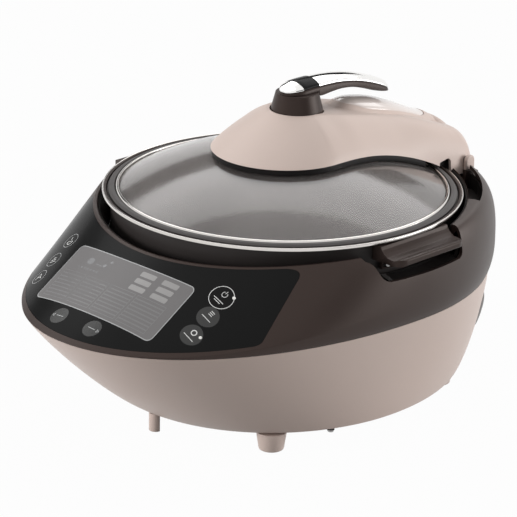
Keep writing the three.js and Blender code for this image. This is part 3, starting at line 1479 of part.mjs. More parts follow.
// Rear pan under the hinge, with a curved gutter at each side
function hingePan() {
  const bottom = pocketHeight - panDepth;
  const top = pocketHeight - seatGap;
  const halfWidth = pocketHalfWidth + bracketFoot;
  const tray = cut(
    block(-halfWidth, halfWidth, panFront, bellyRear, bottom, top),
    block(-halfWidth + panWall, halfWidth - panWall, panFront + panWall,
      bellyRear - shellWall - panWall * 3, bottom + panWall, top + overrun),
  );
  const outside = (angle) => crescentEdge(angle) + panWall;
  const gutterFloor = crescent(() => crescentInner, outside, top - panWall, top);
  const gutterWall = cut(
    crescent((angle) => crescentEdge(angle) + seatGap, outside, top - panWall, openingHeightSide),
    block(-pocketHalfWidth, pocketHalfWidth, 0, bellyRear, bottom, openingHeightRear),
  );
  const trayInside = block(-halfWidth + panWall, halfWidth - panWall, panFront + panWall, bellyRear,
    bottom - overrun, openingHeightRear);
  const gutters = join(
    cut(gutterFloor, trayInside), gutterWall, gutterEnd(1), gutterEnd(-1),
  );
  return common(join(tray, gutters), bodyVolume(shellWall + seatGap));
}
function gutterEnd(side) {
  const angle = side > 0 ? crescentStart : Math.PI - crescentStart;
  return block(crescentInner, crescentOuter + panWall, -panWall / 2, panWall / 2,
    pocketHeight - seatGap - panWall, crescentFloor - seatGap).rotateZ(angle);
}
add('hinge_pan', hingePan(), blackPlastic);

// Control board and display module, parallel to the front slope
function underPanel(length, width, height, depth) {
  const middle = -(windowTopPlace + windowBottomPlace + windowBow) / 2;
  const share = (-middle - openingRadius) / (partingFront - openingRadius);
  const surface = mix(openingHeightFront, partingHeight, share);
  return new THREE.BoxGeometry(length, width, height)
    .translate(0, 0, -depth - height / 2)
    .rotateX(slopeAngle)
    .translate(0, middle, surface);
}
const moduleDepth = shellWall + displayDrop;
add('display_module', underPanel(lcdModuleLength, lcdModuleWidth, lcdModuleHeight, moduleDepth), zincSteel);
add('control_board', underPanel(controlBoardLength, controlBoardWidth, boardThickness,
  moduleDepth + lcdModuleHeight + seatGap), boardGreen);

// Power board with its transformer and relay on the bosses of the bottom cover
const boardBottom = coverTop + boardBossHeight + seatGap;
const boardTop = boardBottom + boardThickness;
function powerBoard() {
  const halfX = powerBoardLength / 2;
  const halfY = powerBoardWidth / 2;
  const board = block(-halfX, halfX, powerBoardY - halfY, powerBoardY + halfY, boardBottom, boardTop);
  const onBoard = (x, length, width, height) => block(
    x - length / 2, x + length / 2, powerBoardY - width / 2, powerBoardY + width / 2,
    boardTop - boardThickness / 2, boardTop + height,
  );
  return join(
    board,
    onBoard(-powerBoardLength / 3, transformerSize, transformerSize, transformerHeight),
    onBoard(powerBoardLength / 4, relayLength, relayWidth, relayHeight),
  );
}
add('power_board', powerBoard(), boardGreen);

// Power inlet in the rear wall of the lower shell
function inletSocket() {
  const half = inletWidth / 2;
  const rear = rearAt(inletFloor + inletHeight / 2) + inletBezel;
  const body = block(-half, half, rear - inletDepth, rear, inletFloor, inletFloor + inletHeight);
  const middle = inletFloor + inletHeight / 2;
  const cavity = block(-inletCavityWidth / 2, inletCavityWidth / 2, rear - inletCavityDepth, rear + overrun,
    middle - inletCavityHeight / 2, middle + inletCavityHeight / 2);
  const blades = [-1, 0, 1].map((k) => block(
    (k * inletCavityWidth) / 3.4 - recessWall / 2, (k * inletCavityWidth) / 3.4 + recessWall / 2,
    rear - inletCavityDepth - recessWall, rear - inletCavityDepth + pinLength,
    middle - recessWall, middle + recessWall,
  ));
  return join(cut(body, cavity), ...blades);
}
function rearAt(height) {
  let share = 0;
  while (share < 1 && lowerPoint(quarter, share)[2] > height) share += 0.01;
  return lowerPoint(quarter, share)[1];
}
add('inlet_socket', inletSocket(), blackPlastic);

// Volume of the lower shell grown by a distance, down past the feet
function shellVolume(grow) {
  const floor = bodyAngles.map((angle) => {
    const p = offsetPoint(lowerPoint, angle, 1, grow);
    return [p[0], p[1], -overrun];
  });
  return ringSolid([
    bodyAngles.map(() => [0, 0, partingHeight]),
    ...lowerShares.map((share) => ringAt(lowerPoint, share, grow)),
    floor, bodyAngles.map(() => [0, 0, -overrun]),
  ], false);
}

// Condensate cup: hooks into the rear wall by a tongue and pulls off backwards
function condensateCup() {
  const steps = 14;
  const ringOf = (height, inset) => {
    const arc = Array.from({ length: steps + 1 }, (_, i) => {
      const a = (Math.PI * i) / steps;
      return [
        (cupHalfWidth - inset) * power(Math.cos(a), cupCornerShare),
        cupStart + (cupReach - inset - cupStart) * Math.sin(a) ** cupCornerShare, height,
      ];
    });
    return arc;
  };
  const level = (share) => cupFloor + cupHeight * share;
  const body = (inset, lift) => ringSolid([
    ringOf(cupFloor + lift, inset + cupTaper).map((p) => [0, cupStart, p[2]]),
    ...cupLevelShares.map((share, i) => ringOf(
      Math.max(level(share), cupFloor + lift), inset + cupTaper * cupInsetShares[i],
    )),
    ringOf(level(1) + lift, inset + cupTaper * cupInsetShares[cupInsetShares.length - 1]),
    ringOf(level(1) + lift, inset).map((p) => [0, cupStart, p[2]]),
  ], false);
  const tongueTop = cupFloor + tongueHeight + tongueThickness;
  const base = rearAt(cupFloor + tongueHeight);
  const tongue = block(-tongueHalfWidth, tongueHalfWidth, base - tongueLength, base + cupWall,
    cupFloor + tongueHeight, tongueTop);
  const cavity = cut(body(cupWall, cupWall), shellVolume(runningGap + cupWall));
  return join(cut(body(0, 0), shellVolume(runningGap), cavity), tongue);
}
add('condensate_cup', condensateCup(), cupGrey);

// Screws of the bottom cover
coverScrews().forEach(([x, y], i) => add(`cover_screw_${i + 1}`, screw(), zincSteel,
  [x, y, coverBottom - seatGap]));

export default multicooker;
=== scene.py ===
"""Looks of the countertop multicooker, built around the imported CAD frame."""

from math import acos, asin, cos, radians, sin, sqrt, tan, pi as PI

import bmesh
import bpy
import numpy as np
from mathutils import Matrix, Vector

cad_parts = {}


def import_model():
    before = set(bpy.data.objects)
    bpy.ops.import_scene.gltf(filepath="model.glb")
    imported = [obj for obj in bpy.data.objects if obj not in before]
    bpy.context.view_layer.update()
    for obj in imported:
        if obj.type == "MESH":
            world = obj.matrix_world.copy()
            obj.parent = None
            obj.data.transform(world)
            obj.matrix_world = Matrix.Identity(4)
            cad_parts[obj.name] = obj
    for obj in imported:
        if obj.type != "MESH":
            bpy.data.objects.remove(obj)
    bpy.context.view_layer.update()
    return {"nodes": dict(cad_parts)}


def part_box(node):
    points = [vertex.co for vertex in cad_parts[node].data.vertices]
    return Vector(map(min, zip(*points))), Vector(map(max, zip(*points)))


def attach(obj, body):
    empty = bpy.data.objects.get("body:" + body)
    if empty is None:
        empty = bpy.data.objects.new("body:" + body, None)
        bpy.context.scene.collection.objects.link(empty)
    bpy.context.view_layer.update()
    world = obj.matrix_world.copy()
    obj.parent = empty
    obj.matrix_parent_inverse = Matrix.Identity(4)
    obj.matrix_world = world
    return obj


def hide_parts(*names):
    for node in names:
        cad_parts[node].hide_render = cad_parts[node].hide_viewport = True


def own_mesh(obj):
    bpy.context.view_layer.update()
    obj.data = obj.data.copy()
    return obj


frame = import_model()

MM = 0.001

# Sizes in millimetres, as in the CAD part. Points lie round the pot axis, with x to the right,
# y backwards and z up, and build() moves them to the row's frame, where that axis is at SHIFT_Y.
# A plan is a half width, a reach forwards and a reach backwards.
SHIFT_Y = 23.0
FOOT, PARTING, ABOVE = 19.0, 109.0, 190.0
WALL, GAP = 3.0, 0.3
OPENING_RADIUS = 159.0
FRONT_EDGE, SIDE_EDGE, REAR_EDGE = 161.5, 172.0, 183.0
PLAN_POWER = 2.04
PARTING_PLAN = 165.0, 252.0, 189.0
BASE_PLAN = np.array([142.0, 155.0, 168.5])
BELLY_HALF, BELLY_REAR = 168.0, 195.5   # upper shell at its widest
BELLY, TUCK = 0.75, 0.72                # share of its surface there, and how it draws in below
WINDOW_HALF, WINDOW_FRONT, WINDOW_REAR, WINDOW_BOW = 68.0, -217.5, -165.5, 5.5
LID_RING, CROWN, GLASS_RADIUS = 182.0, 35.4, 139.4
SPHERE = (GLASS_RADIUS ** 2 + CROWN ** 2) / (2 * CROWN)
GLASS_UNDER = SPHERE - 4
GLASS_TOP = LID_RING - 1.7 + CROWN
ARM_RADIUS, ARM_HALF, ARM_END, ARM_REAR = 61.5, 59.5, 164.0, 191.0
TURRET_Y, TURRET_LOW = 15.0, 234.0
HINGE_Y, HINGE_Z = 168.0, 181.0
CUP_Y, CUP_LOW, CUP_HIGH = 140, 17, 55
SIDES = ("right", 1), ("left", -1)


# ---- small maths
def spow(v, e):
    """Power that keeps the sign."""
    return np.sign(v) * np.abs(v) ** e


def mix(a, b, t):
    return a + (b - a) * t


def smooth(v):
    c = np.clip(v, 0, 1)
    return c * c * (3 - 2 * c)


def along(places, values, at):
    """Smooth value from a table, by Catmull-Rom between unevenly spaced places."""
    p, v = np.asarray(places, float), np.asarray(values, float)
    at = np.clip(np.asarray(at, float), p[0], p[-1])
    i = np.clip(np.searchsorted(p, at, side="left") - 1, 0, len(p) - 2)
    k = np.arange(len(p))
    lo, hi = np.maximum(0, k - 1), np.minimum(len(p) - 1, k + 1)
    slope = (v[hi] - v[lo]) / (p[hi] - p[lo])
    span = p[i + 1] - p[i]
    s = (at - p[i]) / span
    s2, s3 = s * s, s * s * s
    return ((2 * s3 - 3 * s2 + 1) * v[i] + (s3 - 2 * s2 + s) * span * slope[i]
            + (3 * s2 - 2 * s3) * v[i + 1] + (s3 - s2) * span * slope[i + 1])


def stacked(*axes):
    return np.stack(np.broadcast_arrays(*axes), -1)


def arc(cx, cy, r, a0, a1, n):
    a = np.linspace(a0, a1, n + 1)
    return stacked(cx + r * np.cos(a), cy + r * np.sin(a))


def disc(cx, cy, r, n):
    return arc(cx, cy, r, 0, 2 * PI, n)[:-1]


def plan(angle, half, front, rear):
    """Rounded outline of the body, with its own reach forwards and backwards."""
    s, c = np.sin(angle), np.cos(angle)
    return half * spow(c, 2 / PLAN_POWER), np.where(s < 0, front, rear) * spow(s, 2 / PLAN_POWER)


def opening_height(angle):
    s = np.sin(angle)
    return np.where(s < 0, mix(SIDE_EDGE, FRONT_EDGE, np.maximum(-s, 0) ** 2.5),
                    mix(SIDE_EDGE, REAR_EDGE, np.maximum(s, 0)))


def paired(a, b):
    return np.broadcast_arrays(np.asarray(a, float), np.asarray(b, float))


def upper(angle, share):
    """Upper body surface: share 0 at the opening, 1 at the parting line."""
    angle, share = paired(angle, share)
    s, c = np.sin(angle), np.cos(angle)
    away, rear = 1 - np.maximum(0, -s), np.maximum(0, s)
    bx, by = plan(angle, mix(PARTING_PLAN[0], BELLY_HALF, away), PARTING_PLAN[1], BELLY_REAR)
    px, py = plan(angle, *PARTING_PLAN)
    height = PARTING + 22 * away ** 1.3
    curve = np.where(s > 0, mix(2.32, 3.1, rear), mix(1, 2.32, away ** 5))
    phase = np.clip(share / BELLY, 0, 1) * PI / 2
    out = np.sin(phase) ** (2 / curve)
    up = np.maximum(np.cos(phase), 0) ** (2 / curve)
    up = np.where(phase > PI / 2 - 1e-9, 0, up)
    crown = stacked(mix(OPENING_RADIUS * c, bx, out), mix(OPENING_RADIUS * s, by, out),
                    mix(height, opening_height(angle), up))
    down = np.clip((share - BELLY) / (1 - BELLY), 0, 1)
    tuck = (1 - np.sqrt(1 - TUCK * down * down)) / (1 - sqrt(1 - TUCK))
    skirt = stacked(mix(bx, px, tuck), mix(by, py, tuck), mix(height, PARTING, down))
    return np.where((share > BELLY)[..., None], skirt, crown)


def lower(angle, share):
    """Lower body surface: share 0 at the parting line, 1 at the base."""
    angle, share = paired(angle, share)
    s = np.sin(angle)
    px, py = plan(angle, *PARTING_PLAN)
    bx, by = plan(angle, *BASE_PLAN)
    curve = mix(1.02, np.where(s < 0, 1.1, 1.55), np.abs(s) ** 1.5)
    phase = share * PI / 2
    out = np.maximum(np.cos(phase), 0) ** (2 / curve)
    down = np.sin(phase) ** (2 / curve)
    return stacked(mix(bx, px, out), mix(by, py, out), mix(PARTING, FOOT, down))


def offset(surface, angle, share, distance):
    """Points moved off a surface along its normal, outwards for a positive distance."""
    angle, share = paired(angle, share)
    step = 1e-3
    u = surface(angle + step, share) - surface(angle - step, share)
    v = (surface(angle, np.minimum(1, share + step))
         - surface(angle, np.maximum(0, share - step)))
    n = np.cross(u, v)
    n /= np.maximum(np.linalg.norm(n, axis=-1, keepdims=True), 1e-12)
    side = n[..., 0] * np.cos(angle) + n[..., 1] * np.sin(angle)
    n = np.where((side < 0)[..., None], -n, n)
    return surface(angle, share) + n * distance


def on_panel(x, y, lift):
    """Points over plan points, lifted off the upper surface."""
    x, y = paired(x, y)
    low, high = np.zeros_like(x), np.full_like(x, BELLY)
    angle = np.arctan2(y, x)
    for _ in range(30):
        share = (low + high) / 2
        for _ in range(4):
            p = upper(angle, share)
            turn = np.arctan2(y, x) - np.arctan2(p[..., 1], p[..., 0])
            angle = angle + (turn + PI) % (2 * PI) - PI
        p = upper(angle, share)
        inside = np.hypot(p[..., 0], p[..., 1]) < np.hypot(x, y)
        low, high = np.where(inside, share, low), np.where(inside, high, share)
    return offset(upper, angle, (low + high) / 2, lift)


def panel_spot(x, y):
    """Point of the upper surface over a plan point, and its normal."""
    origin = on_panel([x], [y], 0.0)[0]
    return origin, on_panel([x], [y], 1.0)[0] - origin


def dome(radius, sphere=SPHERE):
    return GLASS_TOP - SPHERE + np.sqrt(np.maximum(0, sphere ** 2 - np.asarray(radius, float) ** 2))


# ---- mesh building
ANGLES = -PI / 2 + np.arange(256) * 2 * PI / 256
EDGE = opening_height(ANGLES)
UPPER_STEPS = np.linspace(0, 1, 49)
UPPER_STEPS = (UPPER_STEPS + smooth(UPPER_STEPS)) / 2


def placed(name, data):
    obj = bpy.data.objects.new(name, data)
    bpy.context.scene.collection.objects.link(obj)
    return obj


def build(name, verts, faces):
    """Mesh object from millimetres round the pot axis, cleaned, with its faces pointing out."""
    v = np.asarray(verts, float).reshape(-1, 3).copy()
    v[:, 1] += SHIFT_Y
    mesh = bpy.data.meshes.new(name)
    mesh.from_pydata((v * MM).tolist(), [], [list(map(int, f)) for f in faces])
    bm = bmesh.new()
    bm.from_mesh(mesh)
    bmesh.ops.remove_doubles(bm, verts=bm.verts, dist=2e-6)
    bmesh.ops.dissolve_degenerate(bm, dist=1e-7, edges=bm.edges)
    bmesh.ops.recalc_face_normals(bm, faces=bm.faces)
    bm.to_mesh(mesh)
    bm.free()
    return placed(name, mesh)


def rings(name, stack, looped=True):
    """Piece from rings of points; a looped one joins its last ring to its first."""
    stack = np.asarray(stack, float)
    rows, count = stack.shape[:2]
    k = np.arange(rows if looped else rows - 1)[:, None]
    i = np.arange(count)[None, :]
    j, n = (i + 1) % count, (k + 1) % rows
    faces = np.stack([k * count + i, k * count + j, n * count + j, n * count + i], -1)
    return build(name, stack, faces.reshape(-1, 4))


def capped(name, stack):
    """Piece from rings, closed at the middle of its first and last one."""
    ends = [np.repeat(stack[i].mean(0)[None], stack.shape[1], 0) for i in (0, -1)]
    return rings(name, np.concatenate([[ends[0]], stack, [ends[1]]]), looped=False)


def ring(radius, height):
    """Ring of points round the pot axis, at one height or at a height for each angle."""
    return stacked(radius * np.cos(ANGLES), radius * np.sin(ANGLES), height)


def fillet(points, radii, steps=4):
    """Closed outline with each corner rounded by its radius."""
    pts = [np.asarray(p, float) for p in points]
    radii = [radii] * len(pts) if np.isscalar(radii) else radii
    out = []
    for i, p in enumerate(pts):
        a, b = pts[i - 1] - p, pts[(i + 1) % len(pts)] - p
        la, lb = np.linalg.norm(a), np.linalg.norm(b)
        half = acos(np.clip(a @ b / la / lb, -1, 1)) / 2
        if radii[i] <= 0 or half > PI / 2 - 1e-3:
            out.append(p)
            continue
        t = min(radii[i] / tan(half), 0.49 * la, 0.49 * lb)
        p0, p2 = p + a / la * t, p + b / lb * t
        for s in np.linspace(0, 1, steps + 1):
            w0, w1, w2 = (1 - s) ** 2, 2 * s * (1 - s) * (0.55 + 0.45 * cos(half)), s * s
            out.append((p0 * w0 + p * w1 + p2 * w2) / (w0 + w1 + w2))
    return np.array(out)


def lathe(name, profile, segments, centre=(0, 0)):
    """Turned piece from a closed outline of radius and height."""
    p = np.asarray(profile, float)
    a = np.arange(segments) * 2 * PI / segments
    x, y = p[:, :1] * np.cos(a) + centre[0], p[:, :1] * np.sin(a) + centre[1]
    return rings(name, stacked(x, y, p[:, 1:]))


def prism(name, outline, low, high, axis="z"):
    """Outline pushed straight along an axis."""
    p = np.asarray(outline, float)
    n = len(p)
    ends = [np.insert(p, "xyz".index(axis), h, axis=1) for h in (low, high)]
    faces = [list(range(n))[::-1], list(range(n, 2 * n))]
    faces += [[i, (i + 1) % n, n + (i + 1) % n, n + i] for i in range(n)]
    return build(name, np.vstack(ends), faces)


def corners(x0, x1, y0, y1):
    return [(x0, y0), (x1, y0), (x1, y1), (x0, y1)]


def box(x0, x1, y0, y1, z0, z1):
    return prism("tool", corners(x0, x1, y0, y1), z0, z1)


def applied(obj):
    """Bakes the modifiers of an object into its mesh."""
    bpy.context.view_layer.update()
    graph = bpy.context.evaluated_depsgraph_get()
    mesh = bpy.data.meshes.new_from_object(obj.evaluated_get(graph))
    old = obj.data
    obj.modifiers.clear()
    obj.data = mesh
    bpy.data.meshes.remove(old)
    return obj


def carve(obj, *tools, operation="DIFFERENCE"):
    """Cuts tools off a piece, or joins or crosses them with it, and removes them."""
    for tool in tools:
        before = len(obj.data.vertices)
        for solver in ("MANIFOLD", "EXACT"):
            m = obj.modifiers.new("carve", "BOOLEAN")
            m.object, m.operation, m.solver = tool, operation, solver
            applied(obj)
            if len(obj.data.vertices) != before:
                break
        mesh = tool.data
        bpy.data.objects.remove(tool)
        bpy.data.meshes.remove(mesh)
    return obj


def bevel(obj, width, segments, angle=40):
    m = obj.modifiers.new("bevel", "BEVEL")
    m.width, m.segments, m.limit_method = width * MM, segments, "ANGLE"
    m.angle_limit, m.use_clamp_overlap = radians(angle), True
    return applied(obj)


# ---- materials
def srgb(*c):
    return [((v / 255 + 0.055) / 1.055) ** 2.4 if v > 10 else v / 255 / 12.92 for v in c]


def put(node, **values):
    """Sets inputs of a shader node; an underscore stands for a space."""
    for name, value in values.items():
        node.inputs[name.replace("_", " ")].default_value = value
    return node


def new(tree, kind, **values):
    return put(tree.nodes.new("ShaderNode" + kind), **values)


def calc(tree, operation, first, second=None):
    node = new(tree, "Math")
    node.operation = operation
    tree.links.new(first, node.inputs[0])
    if second is not None:
        tree.links.new(second, node.inputs[1])
    return node


def finish(name, color, rough, metal=0.0, vary=0.05, rough_vary=0.05, grain=0.35, bump=0.05,
           stretch=(1, 1, 1), ior=1.5, **more):
    """Moulded or metal finish: grain and slow drift in colour, roughness and bump."""
    mat = bpy.data.materials.new("mat_" + name)
    mat.use_nodes = True
    tree, link = mat.node_tree, mat.node_tree.links.new
    bsdf = put(tree.nodes["Principled BSDF"], Metallic=metal, IOR=ior, Coat_Roughness=0.05, **more)
    where = new(tree, "TexCoord").outputs["Object"]
    scaled = new(tree, "Mapping", Scale=stretch)
    fine = new(tree, "TexNoise", Scale=1000 / grain, Detail=3)
    slow = new(tree, "TexNoise", Scale=14, Detail=4)
    link(where, scaled.inputs["Vector"])
    link(scaled.outputs[0], fine.inputs["Vector"])
    link(where, slow.inputs["Vector"])
    both = calc(tree, "ADD", fine.outputs["Fac"], slow.outputs["Fac"])
    half = new(tree, "MapRange", From_Min=0.7, From_Max=1.3)
    link(both.outputs[0], half.inputs["Value"])
    tone = new(tree, "Mix")
    tone.data_type = "RGBA"
    rgb = srgb(*color)
    put(tone, A=[c * (1 - vary) for c in rgb] + [1], B=[min(1, c * (1 + vary)) for c in rgb] + [1])
    link(half.outputs[0], tone.inputs["Factor"])
    link(tone.outputs["Result"], bsdf.inputs["Base Color"])
    gloss = new(tree, "MapRange", From_Min=0.35, From_Max=0.65,
                To_Min=max(0.02, rough - rough_vary), To_Max=rough + rough_vary)
    link(slow.outputs["Fac"], gloss.inputs["Value"])
    link(gloss.outputs[0], bsdf.inputs["Roughness"])
    if bump:
        relief = new(tree, "Bump", Strength=bump, Distance=0.0001)
        link(fine.outputs["Fac"], relief.inputs["Height"])
        link(relief.outputs[0], bsdf.inputs["Normal"])
    return mat


WARM = (1, 0.85, 0.78, 1)
M = {name: finish(name, color, rough, **more) for name, color, rough, more in (
    ("shell_beige", (206, 188, 179), 0.42, dict(grain=0.7, bump=0.1, vary=0.02, ior=1.35)),
    ("band_brown", (40, 29, 26), 0.42,
     dict(rough_vary=0.03, vary=0.06, bump=0.02, ior=1.46, Specular_Tint=WARM)),
    ("handle_brown", (52, 43, 40), 0.36, dict(grain=0.6, bump=0.12, ior=1.28, Specular_Tint=WARM)),
    ("panel_black", (31, 31, 31), 0.2, dict(rough_vary=0.03, bump=0, ior=1.12)),
    ("display_grey", (124, 122, 122), 0.2, dict(rough_vary=0.02, bump=0, vary=0.04, ior=1.15)),
    # Release button: the coat and low roughness are real gloss, and the base colour, paler than the
    # arm's beige, is painted reflection.
    ("button_gloss_painted_sheen", (222, 210, 204), 0.14,
     dict(rough_vary=0.02, vary=0.01, bump=0, ior=1.6, Coat_Weight=0.6)),
    ("lamp_white", (246, 245, 240), 0.3, dict(bump=0, vary=0.01)),
    ("black_plastic", (30, 27, 26), 0.4, dict(grain=0.6, bump=0.12, ior=1.2)),
    ("cup_grey", (84, 77, 75), 0.36, dict(grain=0.6, bump=0.12)),
    ("silicone_grey", (58, 54, 53), 0.55, dict(grain=0.5, bump=0.1)),
    ("rubber_black", (24, 22, 22), 0.45, dict(grain=0.5, bump=0.1, ior=1.18)),
    ("steel_bright", (214, 210, 206), 0.17, dict(metal=1, grain=0.5, bump=0.03, stretch=(1, 1, 6))),
    ("steel_plain", (150, 149, 148), 0.36, dict(metal=1, grain=0.5, bump=0.1)),
    ("chrome", (240, 239, 237), 0.1, dict(metal=1, rough_vary=0.02, bump=0, vary=0.01)),
    ("aluminium_cast", (172, 172, 172), 0.42, dict(metal=1, grain=1.2, bump=0.3)),
    ("pot_coating", (47, 43, 42), 0.42, dict(grain=0.4, bump=0.03, vary=0.06, ior=1.3)),
    ("board_green", (32, 78, 54), 0.45, dict(grain=2, bump=0.1, vary=0.15)),
    # Lid glass: the pale base colour tints the light that passes through, and its small diffuse
    # share is painted reflection that lightens the pane.
    ("tinted_glass", (214, 207, 204), 0.13,
     dict(rough_vary=0, vary=0.01, bump=0, Transmission_Weight=0.92)),
)}
PRINT = {name: finish("print_" + name, color, rough, bump=0, vary=vary)
         for name, color, rough, vary in (
             ("white", (226, 226, 224), 0.3, 0.02), ("line", (172, 173, 173), 0.3, 0.03),
             ("cell", (134, 134, 134), 0.3, 0.03), ("bar", (150, 148, 147), 0.3, 0.05),
             ("faint", (128, 128, 129), 0.3, 0.05), ("key", (42, 42, 41), 0.22, 0.1))}


def dress(obj, slot, body, *nodes, name=None, material=None, angle=35):
    """Gives a piece its finish and its body, and hides the CAD nodes it stands for."""
    obj.name = name or obj.name
    obj.data.materials.clear()
    obj.data.materials.append(material or M[slot])
    obj.data.polygons.foreach_set("use_smooth", [True] * len(obj.data.polygons))
    obj.data.set_sharp_from_angle(angle=radians(angle))
    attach(obj, body)
    if nodes:
        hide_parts(*nodes)


# ---- camera, light and stage
def camera():
    """Camera as fitted to the photo, with its focal length in the photo's pixels."""
    place, focal, image, sensor = (1.5806, -1.6070, 0.9625), 2840.57, 517, 36.0
    az, el, roll = map(radians, (44.607, 20.473, -1.046))
    data = bpy.data.cameras.new("camera")
    cam = placed("camera", data)
    bpy.context.scene.camera = cam
    data.sensor_width, data.lens = sensor, sensor * focal / image
    data.clip_start, data.clip_end = 0.05, 30
    back = Vector((sin(az) * cos(el), -cos(az) * cos(el), sin(el)))
    right = Vector((cos(az), sin(az), 0))
    up = back.cross(right)
    r = right * cos(roll) - up * sin(roll)
    u = right * sin(roll) + up * cos(roll)
    cam.matrix_world = Matrix.Translation(place) @ Matrix((r, u, back)).transposed().to_4x4()


def seen_or_mirrored(tree):
    """One for rays from the camera, for reflections and for rays through glass, else zero."""
    rays = new(tree, "LightPath").outputs
    value = rays["Is Camera Ray"]
    for name in ("Is Transmission Ray", "Is Glossy Ray"):
        value = calc(tree, "MAXIMUM", value, rays[name]).outputs[0]
    return value


def blend_shaders(tree, share, first, second, out):
    both = new(tree, "MixShader")
    for source, socket in zip((share, first.outputs[0], second.outputs[0]), both.inputs):
        tree.links.new(source, socket)
    tree.links.new(both.outputs[0], out.inputs["Surface"])


def world():
    """Plain white surroundings that shine less on the object than they show."""
    w = bpy.data.worlds.new("world")
    bpy.context.scene.world = w
    w.use_nodes = True
    tree = w.node_tree
    tree.nodes.clear()
    light, seen = (new(tree, "Background", Color=(1, 1, 1, 1), Strength=strength)
                   for strength in (0.42, 1.0))
    blend_shaders(tree, seen_or_mirrored(tree), light, seen, new(tree, "OutputWorld"))


def lamp(name, place, target, size, power, glossy=False):
    data = bpy.data.lights.new(name, "AREA")
    data.shape, data.size, data.size_y, data.energy = "RECTANGLE", size[0], size[1], power
    obj = placed(name, data)
    obj.location = place
    obj.rotation_euler = (Vector(target) - Vector(place)).to_track_quat("-Z", "Y").to_euler()
    obj.visible_glossy = glossy
    return obj


def staged(name, verts, faces, **look):
    """Piece of the stage with a plain material."""
    obj = build(name, verts, faces)
    mat = bpy.data.materials.new("mat_" + name)
    mat.use_nodes = True
    put(mat.node_tree.nodes["Principled BSDF"], **look)
    obj.data.materials.append(mat)
    return obj, mat.node_tree


def flag(name, start, end, low, high):
    """Black studio flag that only reflections see, round the object between two angles."""
    distance, black = 2900, (0.004, 0.004, 0.004, 1)
    a = np.radians(np.linspace(start, end, 25))
    n = len(a)
    verts = [(distance * cos(t), distance * sin(t), h) for h in (low, high) for t in a]
    faces = [(i, i + 1, n + i + 1, n + i) for i in range(n - 1)]
    obj, _ = staged("flag_" + name, verts, faces, Base_Color=black, Roughness=1.0, IOR=1.0)
    obj.visible_camera = obj.visible_diffuse = obj.visible_shadow = False
    obj.visible_transmission = False


def floor():
    """Floor that shows almost white to the camera and keeps the object's shadow."""
    side, glowing = 6000, 0.975
    verts = [(x, y, 0) for x, y in corners(-side, side, -side, side)]
    _, tree = staged("floor", verts, [(0, 1, 2, 3)], Base_Color=(0.3, 0.3, 0.3, 1), Roughness=0.9)
    glow = new(tree, "Emission", Strength=1.0)
    share = calc(tree, "MULTIPLY", seen_or_mirrored(tree))
    share.inputs[1].default_value = glowing
    blend_shaders(tree, share.outputs[0], tree.nodes["Principled BSDF"], glow,
                  tree.nodes["Material Output"])


bpy.context.scene.view_settings.view_transform = "Standard"
camera()
world()
floor()
lamp("lamp_right", (1.95, 1.8, 0.6), (0, 0, 0.12), (1.7, 1.3), 45, glossy=True)
lamp("lamp_top", (-0.2, 0.5, 2.3), (0, 0, 0.15), (1.8, 1.8), 15)
lamp("lamp_left", (-1.35, -2.3, 0.5), (0, 0, 0.15), (1.2, 1.0), 52)
card = lamp("lamp_card", (-1.2, 1.3, 2.1), (0, 0, 0.19), (3.6, 1.5), 29, glossy=True)
card.visible_diffuse = False
flag("left", 112, 184, 1040, 1900)
flag("right", -18, 20, 150, 1500)


# ---- body
def notch(side):
    """Opening behind a pot grip."""
    points = [(-46, 150), (46, 150), (46, ABOVE), (-60, ABOVE), (-60, 169), (-53, 166)]
    ends = sorted((side * 137.5, side * 172.0))
    return prism("tool", fillet(points, [11, 6, 0, 0, 6, 8], 8), *ends, axis="x")


def crescent(inner, outer, low, high):
    """Recess behind the pot, widest at the hinge."""
    a0 = 0.21 * PI
    a = np.linspace(a0, PI - a0, 97)
    edge = outer + 18 * (1 - np.abs(PI / 2 - a) / (PI / 2 - a0))
    rim = stacked(edge * np.cos(a), edge * np.sin(a))
    return prism("tool", np.vstack([rim, arc(0, 0, inner, PI - a0, a0, 60)]), low, high)


def skin_over(outline, low, high):
    """Sheet over a plan outline, between two distances off the upper surface."""
    a, s = ANGLES, 0.735 * UPPER_STEPS[:, None]
    sheet = rings("tool", np.vstack([offset(upper, a, s, low), offset(upper, a, s, high)[::-1]]))
    return carve(sheet, prism("tool", outline, FOOT, ABOVE), operation="INTERSECT")


def panel_outline(grow):
    """Plan outline of the touch panel, drawn in shares of its half angle and of the slope."""
    slope = 93.0
    half = radians(51.5) + grow / 252
    top, low = 0.075 - grow / slope / 2, 0.65
    corner, end = 0.14, 0.05
    right = [(t, top) for t in np.linspace(0, 1 - corner, 25)]
    right += [(1 - corner + corner * cos(t), top + corner * (1 + sin(t)))
              for t in np.linspace(-PI / 2, 0, 13)[1:]]
    right += [(1, s) for s in np.linspace(top + corner, low - end, 12)[1:]]
    right += [(1 - end * (1 - cos(t)) * 0.7, low - end + end * sin(t) + grow / slope)
              for t in np.linspace(0, PI / 2, 8)]
    right += [(t, mix(0.63, low, t * t) + grow / slope) for t in np.linspace(1 - end, 0, 30)[1:]]
    pts = np.array(right + [(-t, s) for t, s in right[-2:0:-1]])
    return upper(-PI / 2 + pts[:, 0] * half, pts[:, 1])[:, :2]


def bowed(x, y):
    """Plan point of the display, whose long sides bow forwards."""
    return stacked(x, y - WINDOW_BOW * (1 - (x / WINDOW_HALF) ** 2))


def window_outline(grow):
    x, y0, y1 = WINDOW_HALF + grow, WINDOW_FRONT - grow, WINDOW_REAR + grow
    pts = fillet([(x, y0), (x, y1), (-x, y1), (-x, y0)], 5.0, 8)
    dense = []
    for p, q in zip(pts, np.roll(pts, -1, 0)):
        n = max(1, int(np.linalg.norm(q - p) / 3))
        dense += [mix(p, q, t) for t in np.arange(n) / n]
    return bowed(*np.array(dense).T)


